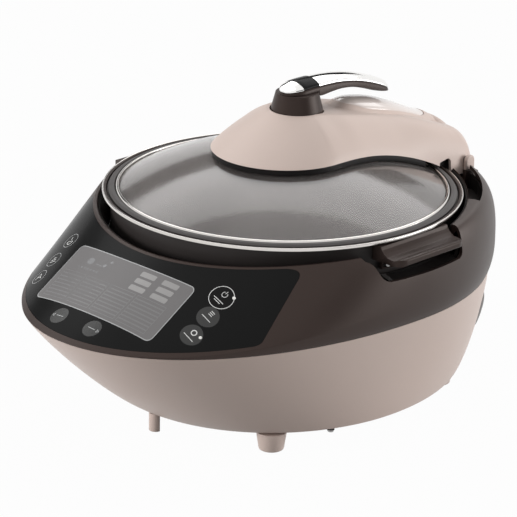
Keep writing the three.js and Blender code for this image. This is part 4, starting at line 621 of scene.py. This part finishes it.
def lower_shell():
    shares = np.linspace(0, 1, 41)
    outer = offset(lower, ANGLES, shares[:, None], 0)
    outer[..., 2] = np.minimum(outer[..., 2], PARTING - GAP / 2)
    inner = offset(lower, ANGLES, (0.88 * shares[::-1])[:, None], -WALL)
    inner[..., 2] = np.clip(inner[..., 2], FOOT + WALL, PARTING - GAP / 2)
    flange = [stacked(*plan(ANGLES, *(BASE_PLAN - 12)), h) for h in (FOOT, FOOT + WALL)]
    obj = rings("shell_lower", [*outer, *flange, *inner])
    carve(obj, box(-20.5, 20.5, 142.5, 206, 27.5, 31.5), box(-24.3, 24.3, 142.5, 206, 61.7, 90.3))
    dress(obj, "shell_beige", "base", "lower_shell")


def upper_shell():
    shares = np.concatenate([BELLY * UPPER_STEPS, BELLY + (1 - BELLY) * np.linspace(0, 1, 9)[1:]])
    outer = upper(ANGLES, shares[:, None])
    shares = np.concatenate([[1], BELLY * smooth(np.linspace(1, 0.3, 30))])
    inner = offset(upper, ANGLES, shares[:, None], -WALL)
    for part in (outer, inner):
        part[..., 2] = np.maximum(part[..., 2], PARTING + GAP / 2)
    lip = [ring(OPENING_RADIUS, EDGE - 8), ring(OPENING_RADIUS - WALL, EDGE - 8)]
    for a in np.linspace(PI, PI / 2.4, 7):
        lip.append(ring(157.6 + 1.6 * cos(a), EDGE - (1.6 - 1.6 * sin(a))))
    obj = rings("shell_upper", [*outer, *inner, *lip])
    carve(obj, notch(1), notch(-1), box(-67, 67, 138, 197.5, 160, 185),
          crescent(156.4, 166.5, 163, 185), skin_over(panel_outline(0.35), -1.5, 2))
    dress(obj, "band_brown", "base", "upper_shell")


def panel():
    face = skin_over(panel_outline(0), -1.2, 0)
    carve(face, prism("tool", window_outline(0.12), FOOT, ABOVE))
    dress(face, "panel_black", "base", "control_panel", name="panel_face")
    window = skin_over(window_outline(0), -1.2, -0.02)
    dress(window, "display_grey", "base", "display_window", name="display_pane")


def feet():
    profile = fillet([(0, 0), (10.4, 0), (12.8, 16), (0, 16)], [0, 1.6, 0.3, 0])
    for end, y in (("front", -102), ("rear", 104)):
        for side, x in (("right", 92), ("left", -92)):
            foot = lathe(f"foot_{end}_{side}_moulded", profile, 64, (x, y))
            dress(foot, "shell_beige", "base", f"foot_{end}_{side}")
    y, outer, inner = -146, 5.6, 3.8
    outline = np.vstack([arc(0, y, outer, PI, 2 * PI, 24), arc(0, y, inner, 2 * PI, PI, 24)])
    prop = bevel(prism("prop_front", outline, 0, 16), 0.4, 2)
    dress(prop, "shell_beige", "base", "front_prop")


def cover():
    obj = prism("cover_bottom", stacked(*plan(ANGLES, *(BASE_PLAN - 10))), 16.3, 18.7)
    for x in range(-30, 31, 10):
        carve(obj, prism("tool", fillet(corners(x - 2, x + 2, -133, -111), 1.9, 5), 14, 21))
    dress(bevel(obj, 0.4, 2), "black_plastic", "base", "bottom_cover")


def well():
    obj = rings("ring_well", [ring(*place) for place in (
        (148.5, 140), (150.5, 140), (150.5, 150), (155.7, EDGE - 5), (155.7, EDGE - 1.6),
        (155.2, EDGE - 1.2), (154.6, EDGE - 1.7), (149.3, 153), (148.5, 151.6))])
    carve(obj, notch(1), notch(-1), box(-67, 67, 115, 196, 160, 186))
    dress(obj, "black_plastic", "base", "well_ring")


# ---- pot
def wall(t):
    """Profile of the pot's wall, moved inwards by a thickness."""
    return [(0, 63.3 + t), (95 - t, 63.3 + t), (119.5 - 0.8 * t, 69.1 + 0.8 * t),
            (132.2 - t, 80.6 + t / 2), (139.9 - t, 100.2), (144.5 - t, 130.2)]


def eased(points):
    """Smooth line of 40 points through a few."""
    p = np.array(points)
    d = np.concatenate([[0], np.cumsum(np.linalg.norm(np.diff(p, axis=0), axis=1))])
    at = np.linspace(0, d[-1], 40)
    return stacked(along(d, p[:, 0], at), along(d, p[:, 1], at))


def pot():
    low, top, radius = 176.6, 178.6, 148.5
    profile = np.vstack([
        eased(wall(0) + [(146, low)]), [(radius, low), (radius, 178.2), (148.1, top), (144.6, top)],
        eased([(144, top)] + wall(2)[::-1])])
    dress(lathe("bowl", profile, 192), "pot_coating", "base", "pot")
    bed = fillet([(148.9, 177.3), (151.4, 177.3), (151.4, 180.2), (149.6, 180.2), (148.9, 179.4)],
                 0.4)
    dress(lathe("bowl_ring_bed", bed, 256), "handle_brown", "base", "pot_rim_ring")
    edge = fillet([(151.2, 177.8), (152.6, 177.8), (152.6, 179.9), (151.9, 180.6), (151.2, 180.3)],
                  0.45)
    dress(lathe("bowl_ring_edge", edge, 256), "steel_bright", "base", "pot_rim_ring")


def grip(name, side):
    """Grip: a bar with a hollow shoulder and a raised lip, on a curved plate against the pot."""
    section = fillet([
        (135, 163.5), (170.3, 163.5), (172, 165.2), (172, 168.6), (170.6, 169.5), (168.2, 169.3),
        (164.6, 168), (157.4, 168.6), (153.4, 171.2), (151, 173.6), (150.1, 176.3), (135, 176.3)],
        [0, 1.2, 1.2, 1.2, 1, 2, 4, 5, 4, 2, 0.3, 0], 5)
    half, pot_side = 40, 146.3
    bar = prism("tool", section, -half, half, axis="y")
    outline = fillet(corners(113, 172.05, -half, half), [0, 11, 11, 0], 12)
    carve(bar, prism("tool", outline, 160, 180), operation="INTERSECT")
    bevel(bar, 0.8, 3, 50)
    outer, inner = 149.8, 145
    a = asin(34 / outer)
    plate = np.vstack([arc(0, 0, outer, -a, a, 40), arc(0, 0, inner, a, -a, 40)])
    carve(bar, bevel(prism("tool", plate, 154.5, 176.2), 0.6, 2, 50), operation="UNION")
    carve(bar, prism("tool", disc(0, 0, pot_side, 200), 140, ABOVE))
    if side < 0:
        bar.data.transform(Matrix.Diagonal((-1, 1, 1, 1)))
        bar.data.flip_normals()
    dress(bar, "handle_brown", "base", "pot_handle_" + name, name="grip_" + name)


# ---- lid
def lid():
    r = np.linspace(14, GLASS_RADIUS, 60)
    under, over = (stacked(r, dome(r, sphere)) for sphere in (GLASS_UNDER, SPHERE))
    pane = lathe("lid_pane", np.vstack([under, over[::-1]]), 256)
    # The pane's finish carries a painted reflection in its diffuse share, besides its tint.
    dress(pane, "tinted_glass", "lid", "lid_glass")
    inner, outer, lap, thick = 138.2, 141.8, 139.7, 1.4
    top = float(dome(inner)) + GAP + thick
    low = float(dome(GLASS_RADIUS, GLASS_UNDER)) - GAP - thick
    rim = fillet([(inner, top - thick), (138.7, top), (140.3, top), (outer, top - 2.2),
                  (outer, low), (inner, low), (inner, low + thick), (lap, low + thick),
                  (lap, top - thick)],
                 [0.2, 0.8, 1.2, 0.8, 0.5, 0.3, 0.1, 0.1, 0.1])
    dress(lathe("lid_ring", rim, 256), "steel_bright", "lid", "lid_rim")
    base = 178.9
    seal = fillet([(142.1, base), (147.4, base), (147.4, base + 1.2), (145.1, base + 2.6),
                   (142.1, base + 3)], 0.4)
    dress(lathe("lid_seal", seal, 256), "silicone_grey", "lid", "lid_gasket")
    stem, plate, z = 12.6, 20, GLASS_TOP
    hub = fillet([(0, z - 10.3), (stem, z - 10.3), (stem, z + 0.3), (plate, z + 0.3),
                  (plate, z + 5.2), (4.4, z + 5.2), (4.4, z + 11.5), (0, z + 11.5)],
                 [0, 0.5, 0.2, 0.5, 0.6, 0.3, 0.4, 0])
    dress(lathe("hub", hub, 96), "black_plastic", "lid", "lid_hub")
    top = float(dome(plate, GLASS_UNDER)) - GAP
    nut = fillet([(12.9, z - 10.3), (18.5, z - 10.3), (plate, z - 8.3), (plate, top), (12.9, top)],
                 0.4)
    dress(lathe("nut", nut, 96), "steel_plain", "lid", "hub_nut")


RIDGE = (HINGE_Y * np.array([0.09, 0.226, 0.357, 0.512, 0.69, 0.81, 0.905, 1.036, 1.137]),
         LID_RING + np.array([64.5, 61, 56.6, 50.4, 43, 36.6, 30.6, 22.4, 15.6]))
HUMP = HINGE_Y * np.array([0.357, 0.393, 0.44, 0.512, 0.619, 0.774, 0.94, 1.048, 1.077])
HUMP_HALF = [6, 13, 18, 22, 24, 22.5, 18, 15, 14]
HUMP_RISE = [0, 5, 8.5, 10.5, 11, 9, 7, 6.3, 0]
BUTTON_FRONT, BUTTON_REAR = 66, 167.5


def arm_top(x, y):
    """Height of the arm: its ridge, and the hump on it that holds the button."""
    across = np.maximum(0, 1 - (x / along(HUMP, HUMP_HALF, y)) ** 2)
    hump = np.maximum(0, along(HUMP, HUMP_RISE, y)) * across ** 0.7
    return along(*RIDGE, y) + np.where((y > HUMP[0]) & (y < HUMP[-1]), hump, 0)


def arm_edge(x, y):
    return np.maximum(dome(np.hypot(x, y)) + 6, 170)


def arm_plan(inset, rear, spine_end, curve):
    """Plan outline of the arm, with the place on its spine that each point belongs to."""
    a = mix(-PI / 2, 0, np.arange(35) / 35)
    radius = ARM_RADIUS - inset
    half = [stacked(radius * np.cos(a), radius * np.sin(a), TURRET_Y)]
    y = np.linspace(0, spine_end, 41)
    x = mix(ARM_RADIUS, ARM_HALF, smooth(y / ARM_RADIUS)) - inset
    half.append(stacked(x, y, np.maximum(y, TURRET_Y)))
    a = PI / 2 * np.arange(1, 26) / 25
    x = (ARM_HALF - inset) * np.maximum(np.cos(a), 0) ** (2 / curve)
    x[-1] = 0
    y = spine_end + (rear - inset - spine_end) * np.sin(a) ** (2 / curve)
    right = np.concatenate([*half, stacked(x, y, spine_end)])
    return np.concatenate([right, right[1:-1][::-1] * (-1, 1, 1)])


def arm_ring(outline, level, sink):
    """Ring of the arm's surface: level 0 on the spine, 1 at the shoulder, 2 at the edge."""
    x, y, spine = outline.T
    reach = np.maximum(np.hypot(x, y - spine), 1e-6)
    half = mix(24.0, 31.5, smooth((spine - TURRET_Y) / 24))
    back = np.where(spine >= ARM_END - 2.6, reach * 0.5, half)
    shoulder = np.minimum(0.8, np.minimum(half, np.maximum(back, half * 0.4)) / reach)
    share = shoulder * level if level <= 1 else mix(shoulder, 1, level - 1)
    px, py = x * share, mix(spine, y, share)
    if level <= 1:
        return stacked(px, py, arm_top(px, py) - sink)
    top, low = arm_top(x * shoulder, mix(spine, y, shoulder)) - sink, arm_edge(x, y)
    front = np.clip(-y / ARM_RADIUS, 0, 1) ** 0.7
    curve = mix(mix(1.34, 2.3, smooth((spine - 90) / (ARM_END - 90))), 0.97, front)
    fall = np.maximum(0, 1 - (level - 1) ** curve) ** (1 / curve)
    return stacked(px, py, low + (top - low) * fall)


def arm_volume(shrink, above, below, under):
    """Solid of the arm, with so many rings above and below its shoulder."""
    outline = arm_plan(shrink, ARM_REAR, ARM_END, 2.8)
    levels = np.concatenate([np.linspace(0, 1, above), 1 + np.linspace(0, 1, below)[1:]])
    stack = [arm_ring(outline, level, shrink) for level in levels]
    for share in (1, 0.6, 0):
        px, py = outline[:, 0] * share, mix(outline[:, 2], outline[:, 1], share)
        stack.append(stacked(px, py, arm_edge(px, py) - under))
    return rings("tool", stack, looped=False)


def button_body(grow, below, extra, soft=0.0):
    """Solid of the release button, which follows the hump, or of the hole that it sits in."""
    a = PI * np.arange(1, 64) / 64
    front, rear = BUTTON_FRONT - grow, BUTTON_REAR + grow
    y = mix(front, rear, (1 - np.cos(a)) / 2)
    half = np.maximum(GAP, along(HUMP, HUMP_HALF, y) - 2.6) + grow
    right = stacked(half * np.minimum(1, np.sqrt(np.sin(a) * 1.5)), y)
    outline = np.vstack([[(0, front)], right, [(0, rear)], right[::-1] * (-1, 1)])
    middle = np.clip(outline[:, 1], 80, 154)
    stack = []
    for share in np.concatenate([np.linspace(0, 0.9, 10), np.linspace(0.92, 1, 7)]):
        x, y = outline[:, 0] * share, mix(middle, outline[:, 1], share)
        edge = soft * (1 - sqrt(max(0, 1 - max(0, (share - 0.9) / 0.1) ** 2)))
        stack.append(stacked(x, y, arm_top(x, y) + extra - edge))
    for share in (1, 0):
        x, y = outline[:, 0] * share, mix(middle, outline[:, 1], share)
        stack.append(stacked(x, y, along(*RIDGE, y) - below))
    return rings("tool", stack, looped=False)


def arm():
    half = 64
    hollow = fillet([(131, 170), (148, 170), (148, 184.6), (145, 187.6), (133, 186)],
                    [0, 0, 2.5, 3, 1.5])
    obj = carve(arm_volume(0, 14, 22, 0), arm_volume(2.6, 8, 12, 6),
                prism("tool", hollow, -half, half, axis="x"),
                prism("tool", disc(0, TURRET_Y, 23, 96), TURRET_LOW, 252),
                button_body(0.5, 12, 12),
                prism("tool", disc(HINGE_Y, HINGE_Z, 3.3, 40), -half, half, axis="x"))
    dress(obj, "shell_beige", "lid", "arm_housing", name="arm_shell", angle=32)
    radius = 148
    a = asin(53.5 / radius)
    for name, side in SIDES:
        edge = arc(0, 0, radius, PI / 2 - side * a, PI / 2 - side * a / 3, 16)
        outline = np.vstack([edge, [(edge[-1][0], 160), (edge[0][0], 160)]])
        liner = bevel(prism("arm_liner_" + name, outline, 174, 186.5), 0.5, 2)
        dress(liner, "rubber_black", "lid")
    stem = lathe("tool", [(0, 205), (4, 205), (4, 223), (0, 223)], 48, (0, 108))
    button = carve(button_body(0, 6, 0, soft=0.7), stem, operation="UNION")
    # The button's finish is paler than the arm's: painted reflection over its real gloss.
    dress(button, "shell_beige", "button", "release_button", name="button_cap",
          material=M["button_gloss_painted_sheen"], angle=40)


def trim():
    """Black trim between the arm and the glass, with a bed that the arm's edge stands in."""
    outline = arm_plan(0.9, 120, 111, 6)

    def layer(share, lift):
        x, y = outline[:, 0] * share, mix(outline[:, 2], outline[:, 1], share)
        return stacked(x, y, dome(np.hypot(x, y)) + lift)

    lip = 1 - 4.5 / ARM_HALF
    stack = [layer(s, 0.9) for s in np.linspace(0, 1, 16)]
    stack += [layer(1, 1.6), layer(1, 5.0), layer(0.995, 5.5), layer(lip, 5.5)]
    stack += [layer(s, 3.5) for s in np.linspace(lip, 0, 14)]
    obj = rings("arm_seal", stack, looped=False)
    carve(obj, prism("tool", disc(0, 0, 20.3, 96), 182, 221))
    dress(obj, "rubber_black", "lid", "arm_trim")


def hinge_ears():
    """Hinge brackets: a rounded ear in the arm's colour on a dark foot."""
    ear = [(162.4, 173.4), (173.4, 173.4), *arc(HINGE_Y, HINGE_Z, 5.4, -0.15, PI + 0.15, 20)]
    foot = [(159.6, 156), (178, 156), (178.5, 170.5), (173.4, 173.2), (162.4, 173.2)]
    for name, side in SIDES:
        ends = sorted((side * 60.4, side * 64.4))
        for part, outline, slot, width in (("ear", ear, "shell_beige", 1.4),
                                           ("foot", foot, "band_brown", 0.6)):
            obj = prism(f"hinge_{part}_{name}", outline[::-1], *ends, axis="x")
            dress(bevel(obj, width, 4, 50), slot, "base", "hinge_bracket_" + name)


# ---- lever
LEVER_Y = [-2.6, 4, 12, 20, 31, 44, 56, 70, 82, 94, 106, 116, 124.5]
LEVER_TOP = [265.2, 266, 266.5, 266.8, 266.7, 266.2, 265.1, 262.9, 260.2, 256.6, 252.3, 248, 243.6]
LEVER_LOW = [260, 260, 260, 258.4, 255.6, 256.1, 256.3, 254.7, 251.9, 248.2, 244, 241.4, 240.6]
LEVER_FRONT, LEVER_TIP = LEVER_Y[0], LEVER_Y[-1]


def lever_half(y, inset=0.0):
    """Half width of the lever, round at its front and at its tip."""
    y = np.asarray(y, float)
    straight = mix(13.0, 9.0, np.clip((y - 29) / (LEVER_TIP - 29), 0, 1))
    front = np.clip((y - LEVER_FRONT) / (TURRET_Y - LEVER_FRONT), 0, 1)
    tip = np.clip((LEVER_TIP - y) / 9, 0, 1)
    return np.maximum(
        0.2, straight * np.sqrt(1 - (1 - front) ** 2) * np.sqrt(1 - (1 - tip) ** 2) - inset)


def loft(start, end, inset, low, high, soft):
    """Lever layer between two heights, with a softened upper edge."""
    t = np.arange(81) / 80
    y = mix(LEVER_FRONT, LEVER_TIP, (1 - np.cos(PI * t)) / 2)
    y = np.concatenate([[start], y[(y > start + 0.4) & (y < end - 0.4)], [end]])
    across = np.sin(np.linspace(-PI / 2, PI / 2, 25))
    edge = soft * np.maximum(0, (np.abs(across) - 0.86) / 0.14) ** 2
    stack = []
    for v in y:
        half = float(lever_half(v, inset))
        place = across * (half / float(lever_half(v)))
        top = stacked(half * across, v, high(v, place) - edge)
        stack.append(np.vstack([top, stacked(half * across, v, low(v, place))[::-1]]))
    return capped("tool", np.array(stack))


def turret_body(grow):
    top = 261.2 + grow
    outline = fillet([(0, TURRET_LOW), (22 + grow, TURRET_LOW), (22 + grow, 246.5),
                      (18.2 + grow, top), (0, top)], [0, 0.6, 3, 0.7, 0])
    return lathe("tool", outline, 128, (0, TURRET_Y))


def lever():
    def edge(y):
        return along(LEVER_Y, LEVER_TOP, y)

    def crown(y, s):
        return 4.8 * (1 - s * s) * smooth((y - LEVER_FRONT) / (TURRET_Y - LEVER_FRONT))

    def under(y, s):
        return along(LEVER_Y, LEVER_LOW, y) + 1.6 * s * s * smooth((y - TURRET_Y) / 18.2)

    def bed(y, s):
        return edge(y) - 1.6 + crown(y, s)

    body = loft(LEVER_FRONT, LEVER_TIP, 0, under, lambda y, s: bed(y, s) - 0.6, 0.5)
    carve(body, turret_body(0.3))
    dress(body, "handle_brown", "lever", "lever", name="lever_body", angle=45)
    for name, node, start, end, slot in (
            ("lever_cap_plate", "lever_cap", -2.0, 10.75, "chrome"),
            ("lever_dark_plate", "lever_strip", 11.05, 28.85, "panel_black"),
            ("lever_top_plate", "lever_inlay", 29.15, 123.3, "chrome")):
        plate = loft(start, end, 0.6, bed, lambda y, s: edge(y) + crown(y, s), 0.45)
        dress(plate, slot, "lever", node, name=name, angle=45)
    turret = carve(turret_body(0), prism("tool", disc(0, TURRET_Y, 5.5, 48), 232, 244))
    dress(turret, "handle_brown", "lever", "turret", name="turret_body")


# ---- rear: condensate cup
def cup_body(inset, lift):
    """Solid of the cup, rounded all round, or of its hollow."""
    a = PI * np.arange(81) / 80
    c, s = np.cos(a), np.maximum(np.sin(a), 0)

    def layer(height, tuck, spread=1):
        x, y = (69.6 - tuck) * spow(c, 0.36), (66 - tuck) * s ** 0.36
        return stacked(x * spread, CUP_Y + y * spread, height)

    low = CUP_LOW + lift
    stack = [layer(low, inset + 7, spread=0)]
    for h in np.linspace(0, 1, 22):
        taper = float(along([0, .16, .45, .75, 1], [1, .62, .22, 0, .12], h))
        stack.append(layer(max(mix(CUP_LOW, CUP_HIGH, h), low), inset + 7 * taper))
    stack += [layer(CUP_HIGH + lift, inset + 0.8), layer(CUP_HIGH + lift, inset, spread=0)]
    return rings("tool", stack, looped=False)


def inside_shell(grow):
    """Solid that fills the lower shell."""
    side = offset(lower, ANGLES, np.linspace(0, 1, 31)[:, None], grow)
    base = offset(lower, ANGLES, 1.0, grow) * (1, 1, 0) + (0, 0, -2)
    stack = [ring(0, PARTING), *side, base, base * (0, 0, 1)]
    return rings("tool", stack, looped=False)


def cup():
    hollow = carve(cup_body(2, 2), inside_shell(2.5))
    obj = carve(cup_body(0, 0), inside_shell(0.5), hollow)
    side, low, high = lower(PI / 2, np.linspace(0, 1, 400)), 28, 31
    base = float(np.interp(low, side[::-1, 2], side[::-1, 1]))
    carve(obj, box(-20, 20, base - 9, base + 2, low, high), operation="UNION")
    dress(obj, "cup_grey", "cup", "condensate_cup", name="cup_moulded")


# ---- printed marks on the panel
def strip(points, width, closed=False):
    """Flat line of a given width along points, as quads in 2D."""
    p = np.asarray(points, float)
    nxt, prv = np.roll(p, -1, 0), np.roll(p, 1, 0)
    if not closed:
        nxt[-1], prv[0] = p[-1] * 2 - p[-2], p[0] * 2 - p[1]

    def unit(v):
        return v / np.maximum(np.linalg.norm(v, axis=1, keepdims=True), 1e-9)

    d1, d2 = unit(p - prv), unit(nxt - p)
    n = unit(stacked(-(d1 + d2)[:, 1], (d1 + d2)[:, 0]))
    miter = np.maximum(0.4, np.abs(n[:, 0] * -d1[:, 1] + n[:, 1] * d1[:, 0]))
    scale = width / 2 / miter[:, None]
    count = len(p)
    faces = [(i, (i + 1) % count, count + (i + 1) % count, count + i)
             for i in range(count if closed else count - 1)]
    return np.vstack([p + n * scale, p - n * scale]), faces


def blob(points):
    """Filled outline, as triangles round its middle."""
    p = np.asarray(points, float)
    return np.vstack([p, p.mean(0)]), [(i, (i + 1) % len(p), len(p)) for i in range(len(p))]


def refined(pts, faces, longest=1.6):
    """Flat shape cut into small pieces, so that it can follow a curved face."""
    bm = bmesh.new()
    held = [bm.verts.new((*p, 0.0)) for p in pts]
    for face in faces:
        bm.faces.new([held[i] for i in face])
    bmesh.ops.triangulate(bm, faces=bm.faces)
    for _ in range(7):
        long_edges = [e for e in bm.edges if e.calc_length() > longest]
        if not long_edges:
            break
        bmesh.ops.subdivide_edges(bm, edges=long_edges, cuts=1)
        bmesh.ops.triangulate(bm, faces=bm.faces)
    bm.verts.index_update()
    out = (np.array([v.co[:2] for v in bm.verts]),
           [tuple(v.index for v in f.verts) for f in bm.faces])
    bm.free()
    return out


def printed(name, shapes, ink, centre=None, turn=0.0):
    """Ink on the panel: with a centre, in the slope's own plane round it, otherwise in plan."""
    lift = 0.05 if ink in ("white", "line") else 0.03
    verts, faces, base = [], [], 0
    for shape in shapes:
        pts, cut = refined(*shape)
        verts.append(pts)
        faces += [tuple(i + base for i in f) for f in cut]
        base += len(pts)
    p = np.vstack(verts)
    if centre is not None:
        c, s = cos(turn), sin(turn)
        p = p @ np.array([(c, s), (-s, c)])
        origin, normal = panel_spot(*centre)
        t = np.cross((0, 1, 0), normal)
        t /= np.linalg.norm(t)
        p = (origin + p[:, :1] * t + p[:, 1:] * np.cross(normal, t))[:, :2]
    obj = build(name, on_panel(p[:, 0], p[:, 1], lift), faces)
    obj.data.materials.append(PRINT[ink])
    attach(obj, "base")


def bar(half, y, width=0.6):
    """Level line of a sign."""
    return strip([(-half, y), (half, y)], width)


def key_marks():
    """Generic signs: three keys on the right, two in front and three on the left."""
    start, menu, mode = (89.3, -158.9), (90.9, -175.3), (90.1, -192.4)
    printed("mark_start_ring", [strip(disc(0, 0, 10.3, 64), 0.55, True)], "white", start)
    power = [strip(arc(0, 3.4, 2.4, PI / 2 + 0.6, PI / 2 + 2 * PI - 0.6, 19), 0.5),
             strip([(0, 4.2), (0, 7)], 0.5), bar(5.5, -3.2), bar(3.5, -5)]
    printed("mark_start_sign", power, "white", start)
    rows = [bar(2, 5.4), bar(2, 3.8), bar(2, 2.2), bar(5, -2)]
    cook = [strip(disc(0, 2.6, 2.2, 20), 0.9, True), bar(5.5, -3.2)]
    for name, place, sign in (("menu", menu, rows), ("mode", mode, cook)):
        printed(f"mark_{name}_disc", [blob(disc(0, 0, 9.3, 48))], "key", place)
        printed(f"mark_{name}_sign", sign, "white", place)
    arrow = [strip([(5.5, 1.4), (5.5, -1.4), (7.6, 0)], 0.4, True), strip([(-4.5, 0), (3, 0)], 0.6)]
    for i, (x, turn) in enumerate(((-21.4, PI), (17.8, 0.0)), 1):
        place = x, -232.4
        printed(f"mark_step_disc_{i}", [blob(disc(0, 0, 8.3, 40))], "key", place)
        printed(f"mark_step_sign_{i}", arrow, "line", place, turn)
    bowl = [strip(arc(0, -1, 3.4, PI, 2 * PI, 11), 0.6), bar(3.4, -1),
            strip([(0, 0.6), (0, 4)], 0.6)]
    steps = [bar(4, -2.5), bar(3, -0.3), bar(2, 2)]
    peak = [strip([(-3.4, -3), (0, 3.4), (3.4, -3)], 0.6), bar(1.8, -0.6)]
    places = (-89.4, -159.6), (-89.8, -178.0), (-88.9, -194.9)
    for i, (place, sign) in enumerate(zip(places, (bowl, steps, peak)), 1):
        printed(f"mark_side_ring_{i}", [strip(disc(0, 0, 7.6, 48), 0.45, True)], "line", place)
        printed(f"mark_side_sign_{i}", sign, "white", place)


def window_point(u, v):
    """Plan point of the display, by shares from its middle and from its front."""
    return bowed(u * (WINDOW_HALF - 1), mix(WINDOW_FRONT + 1, WINDOW_REAR - 1, v))


def on_window(points, width, closed=False, steps=12):
    """Line between points of the display, cut finely enough to bow with it."""
    p = np.asarray(points, float)
    ends = np.vstack([p, p[:1]]) if closed else p
    shares = np.arange(steps)[:, None] / steps
    dense = np.vstack([mix(a, b, t) for a, b in zip(ends[:-1], ends[1:]) for t in shares])
    if not closed:
        dense = np.vstack([dense, ends[-1]])
    return strip(window_point(*dense.T), width, closed)


def window_blob(outline):
    return blob(window_point(*outline.T))


def display_marks():
    printed("mark_window_line", [strip(window_outline(-0.3), 0.7, True)], "line")
    columns, rows = (-0.93, -0.47, -0.03, 0.42, 0.9), np.linspace(0.05, 0.56, 9)
    cells = [on_window(corners(c0 + 0.02, c1 - 0.02, r0 + 0.006, r1 - 0.006), 0.28, True, 4)
             for c0, c1 in zip(columns[:-1], columns[1:]) for r0, r1 in zip(rows[:-1], rows[1:])]
    printed("mark_table", cells, "cell")
    bars = [window_blob(fillet(corners(u - 0.1, u + 0.14, v - 0.045, v + 0.045), 0.02, 3))
            for u in (0.33, 0.68) for v in (0.9, 0.77, 0.64)]
    printed("mark_bars", bars, "bar")
    u, v = -0.62, 0.8
    shapes = [window_blob(disc(u, v, 0.06, 24)),
              on_window([(u + 0.12, v - 0.02), (u + 0.24, v - 0.02)], 0.6),
              window_blob(disc(u + 0.27, v, 0.03, 16)),
              window_blob(disc(u + 0.33, v + 0.09, 0.022, 16))]
    shapes += [window_blob(disc(u - 0.12 + 0.06 * k, v - 0.14, 0.016, 12)) for k in range(7)]
    printed("mark_pictures", shapes, "faint")


# ---- status lamps and springs
def status_lamps():
    profile = fillet([(0, -6), (1.6, -6), (1.6, 0.0), (0, 0.25)], [0, 0, 0.4, 0])
    shift = Vector((0, SHIFT_Y * MM, 0))
    for i, (x, y) in enumerate(((97.4, -153.0), (96.7, -189.0)), 1):
        origin, normal = panel_spot(x, y)
        obj = lathe(f"lamp_dot_{i}", profile, 32)
        turn = Vector((0, 0, 1)).rotation_difference(Vector(normal)).to_matrix().to_4x4()
        obj.data.transform(Matrix.Translation(-shift))
        obj.data.transform(Matrix.Translation(Vector(origin) * MM + shift) @ turn)
        dress(obj, "lamp_white", "base", f"status_lamp_{i}")


def spring(name, node, body):
    """Coil in its node's place."""
    turns, fine, wire, sides = 3, 28, 1.3, 12
    low, high = (np.array(corner) / MM - (0, SHIFT_Y, 0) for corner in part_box(node))
    mid, height = (low + high) / 2, high[2] - low[2]
    radius = (high[0] - low[0] - wire) / 2
    a = 2 * PI * turns * np.arange(turns * fine + 1) / (turns * fine)
    lift = wire / 2 + (height - wire) * smooth(np.arange(len(a)) / (len(a) - 1))
    b = 2 * PI * np.arange(sides) / sides
    out = radius + wire / 2 * np.cos(b)
    coil = stacked(mid[0] + out * np.cos(a)[:, None], mid[1] + out * np.sin(a)[:, None],
                   low[2] + lift[:, None] + wire / 2 * np.sin(b))
    obj = capped(name, coil)
    dress(obj, "steel_plain", body, node, angle=60)
    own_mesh(obj)


# ---- assembly
lower_shell()
upper_shell()
panel()
status_lamps()
spring("spring_sensor", "sensor_spring", "base")
spring("spring_button", "button_spring", "lid")
feet()
cover()
well()
pot()
for name, side in SIDES:
    grip(name, side)
lid()
arm()
trim()
hinge_ears()
lever()
cup()
key_marks()
display_marks()

# CAD nodes that stay, with the finish that each one gets
KEPT = {
    "black_plastic": "recess_cup_right recess_cup_left hinge_pan inlet_socket arm_chassis",
    "steel_plain": "handle_screw_right_front handle_screw_right_rear handle_screw_left_front "
                   "handle_screw_left_rear heat_shield heater_ring sensor_bridge hinge_pin "
                   "hinge_spring_right hinge_spring_left display_module lever_shaft "
                   "cover_screw_1 cover_screw_2 cover_screw_3 cover_screw_4",
    "aluminium_cast": "heating_plate thermostat_sensor",
    "board_green": "control_board power_board",
}
for slot, names in KEPT.items():
    for node in names.split():
        for held in frame["nodes"][node].material_slots:
            held.material = M[slot]

bpy.context.view_layer.update()
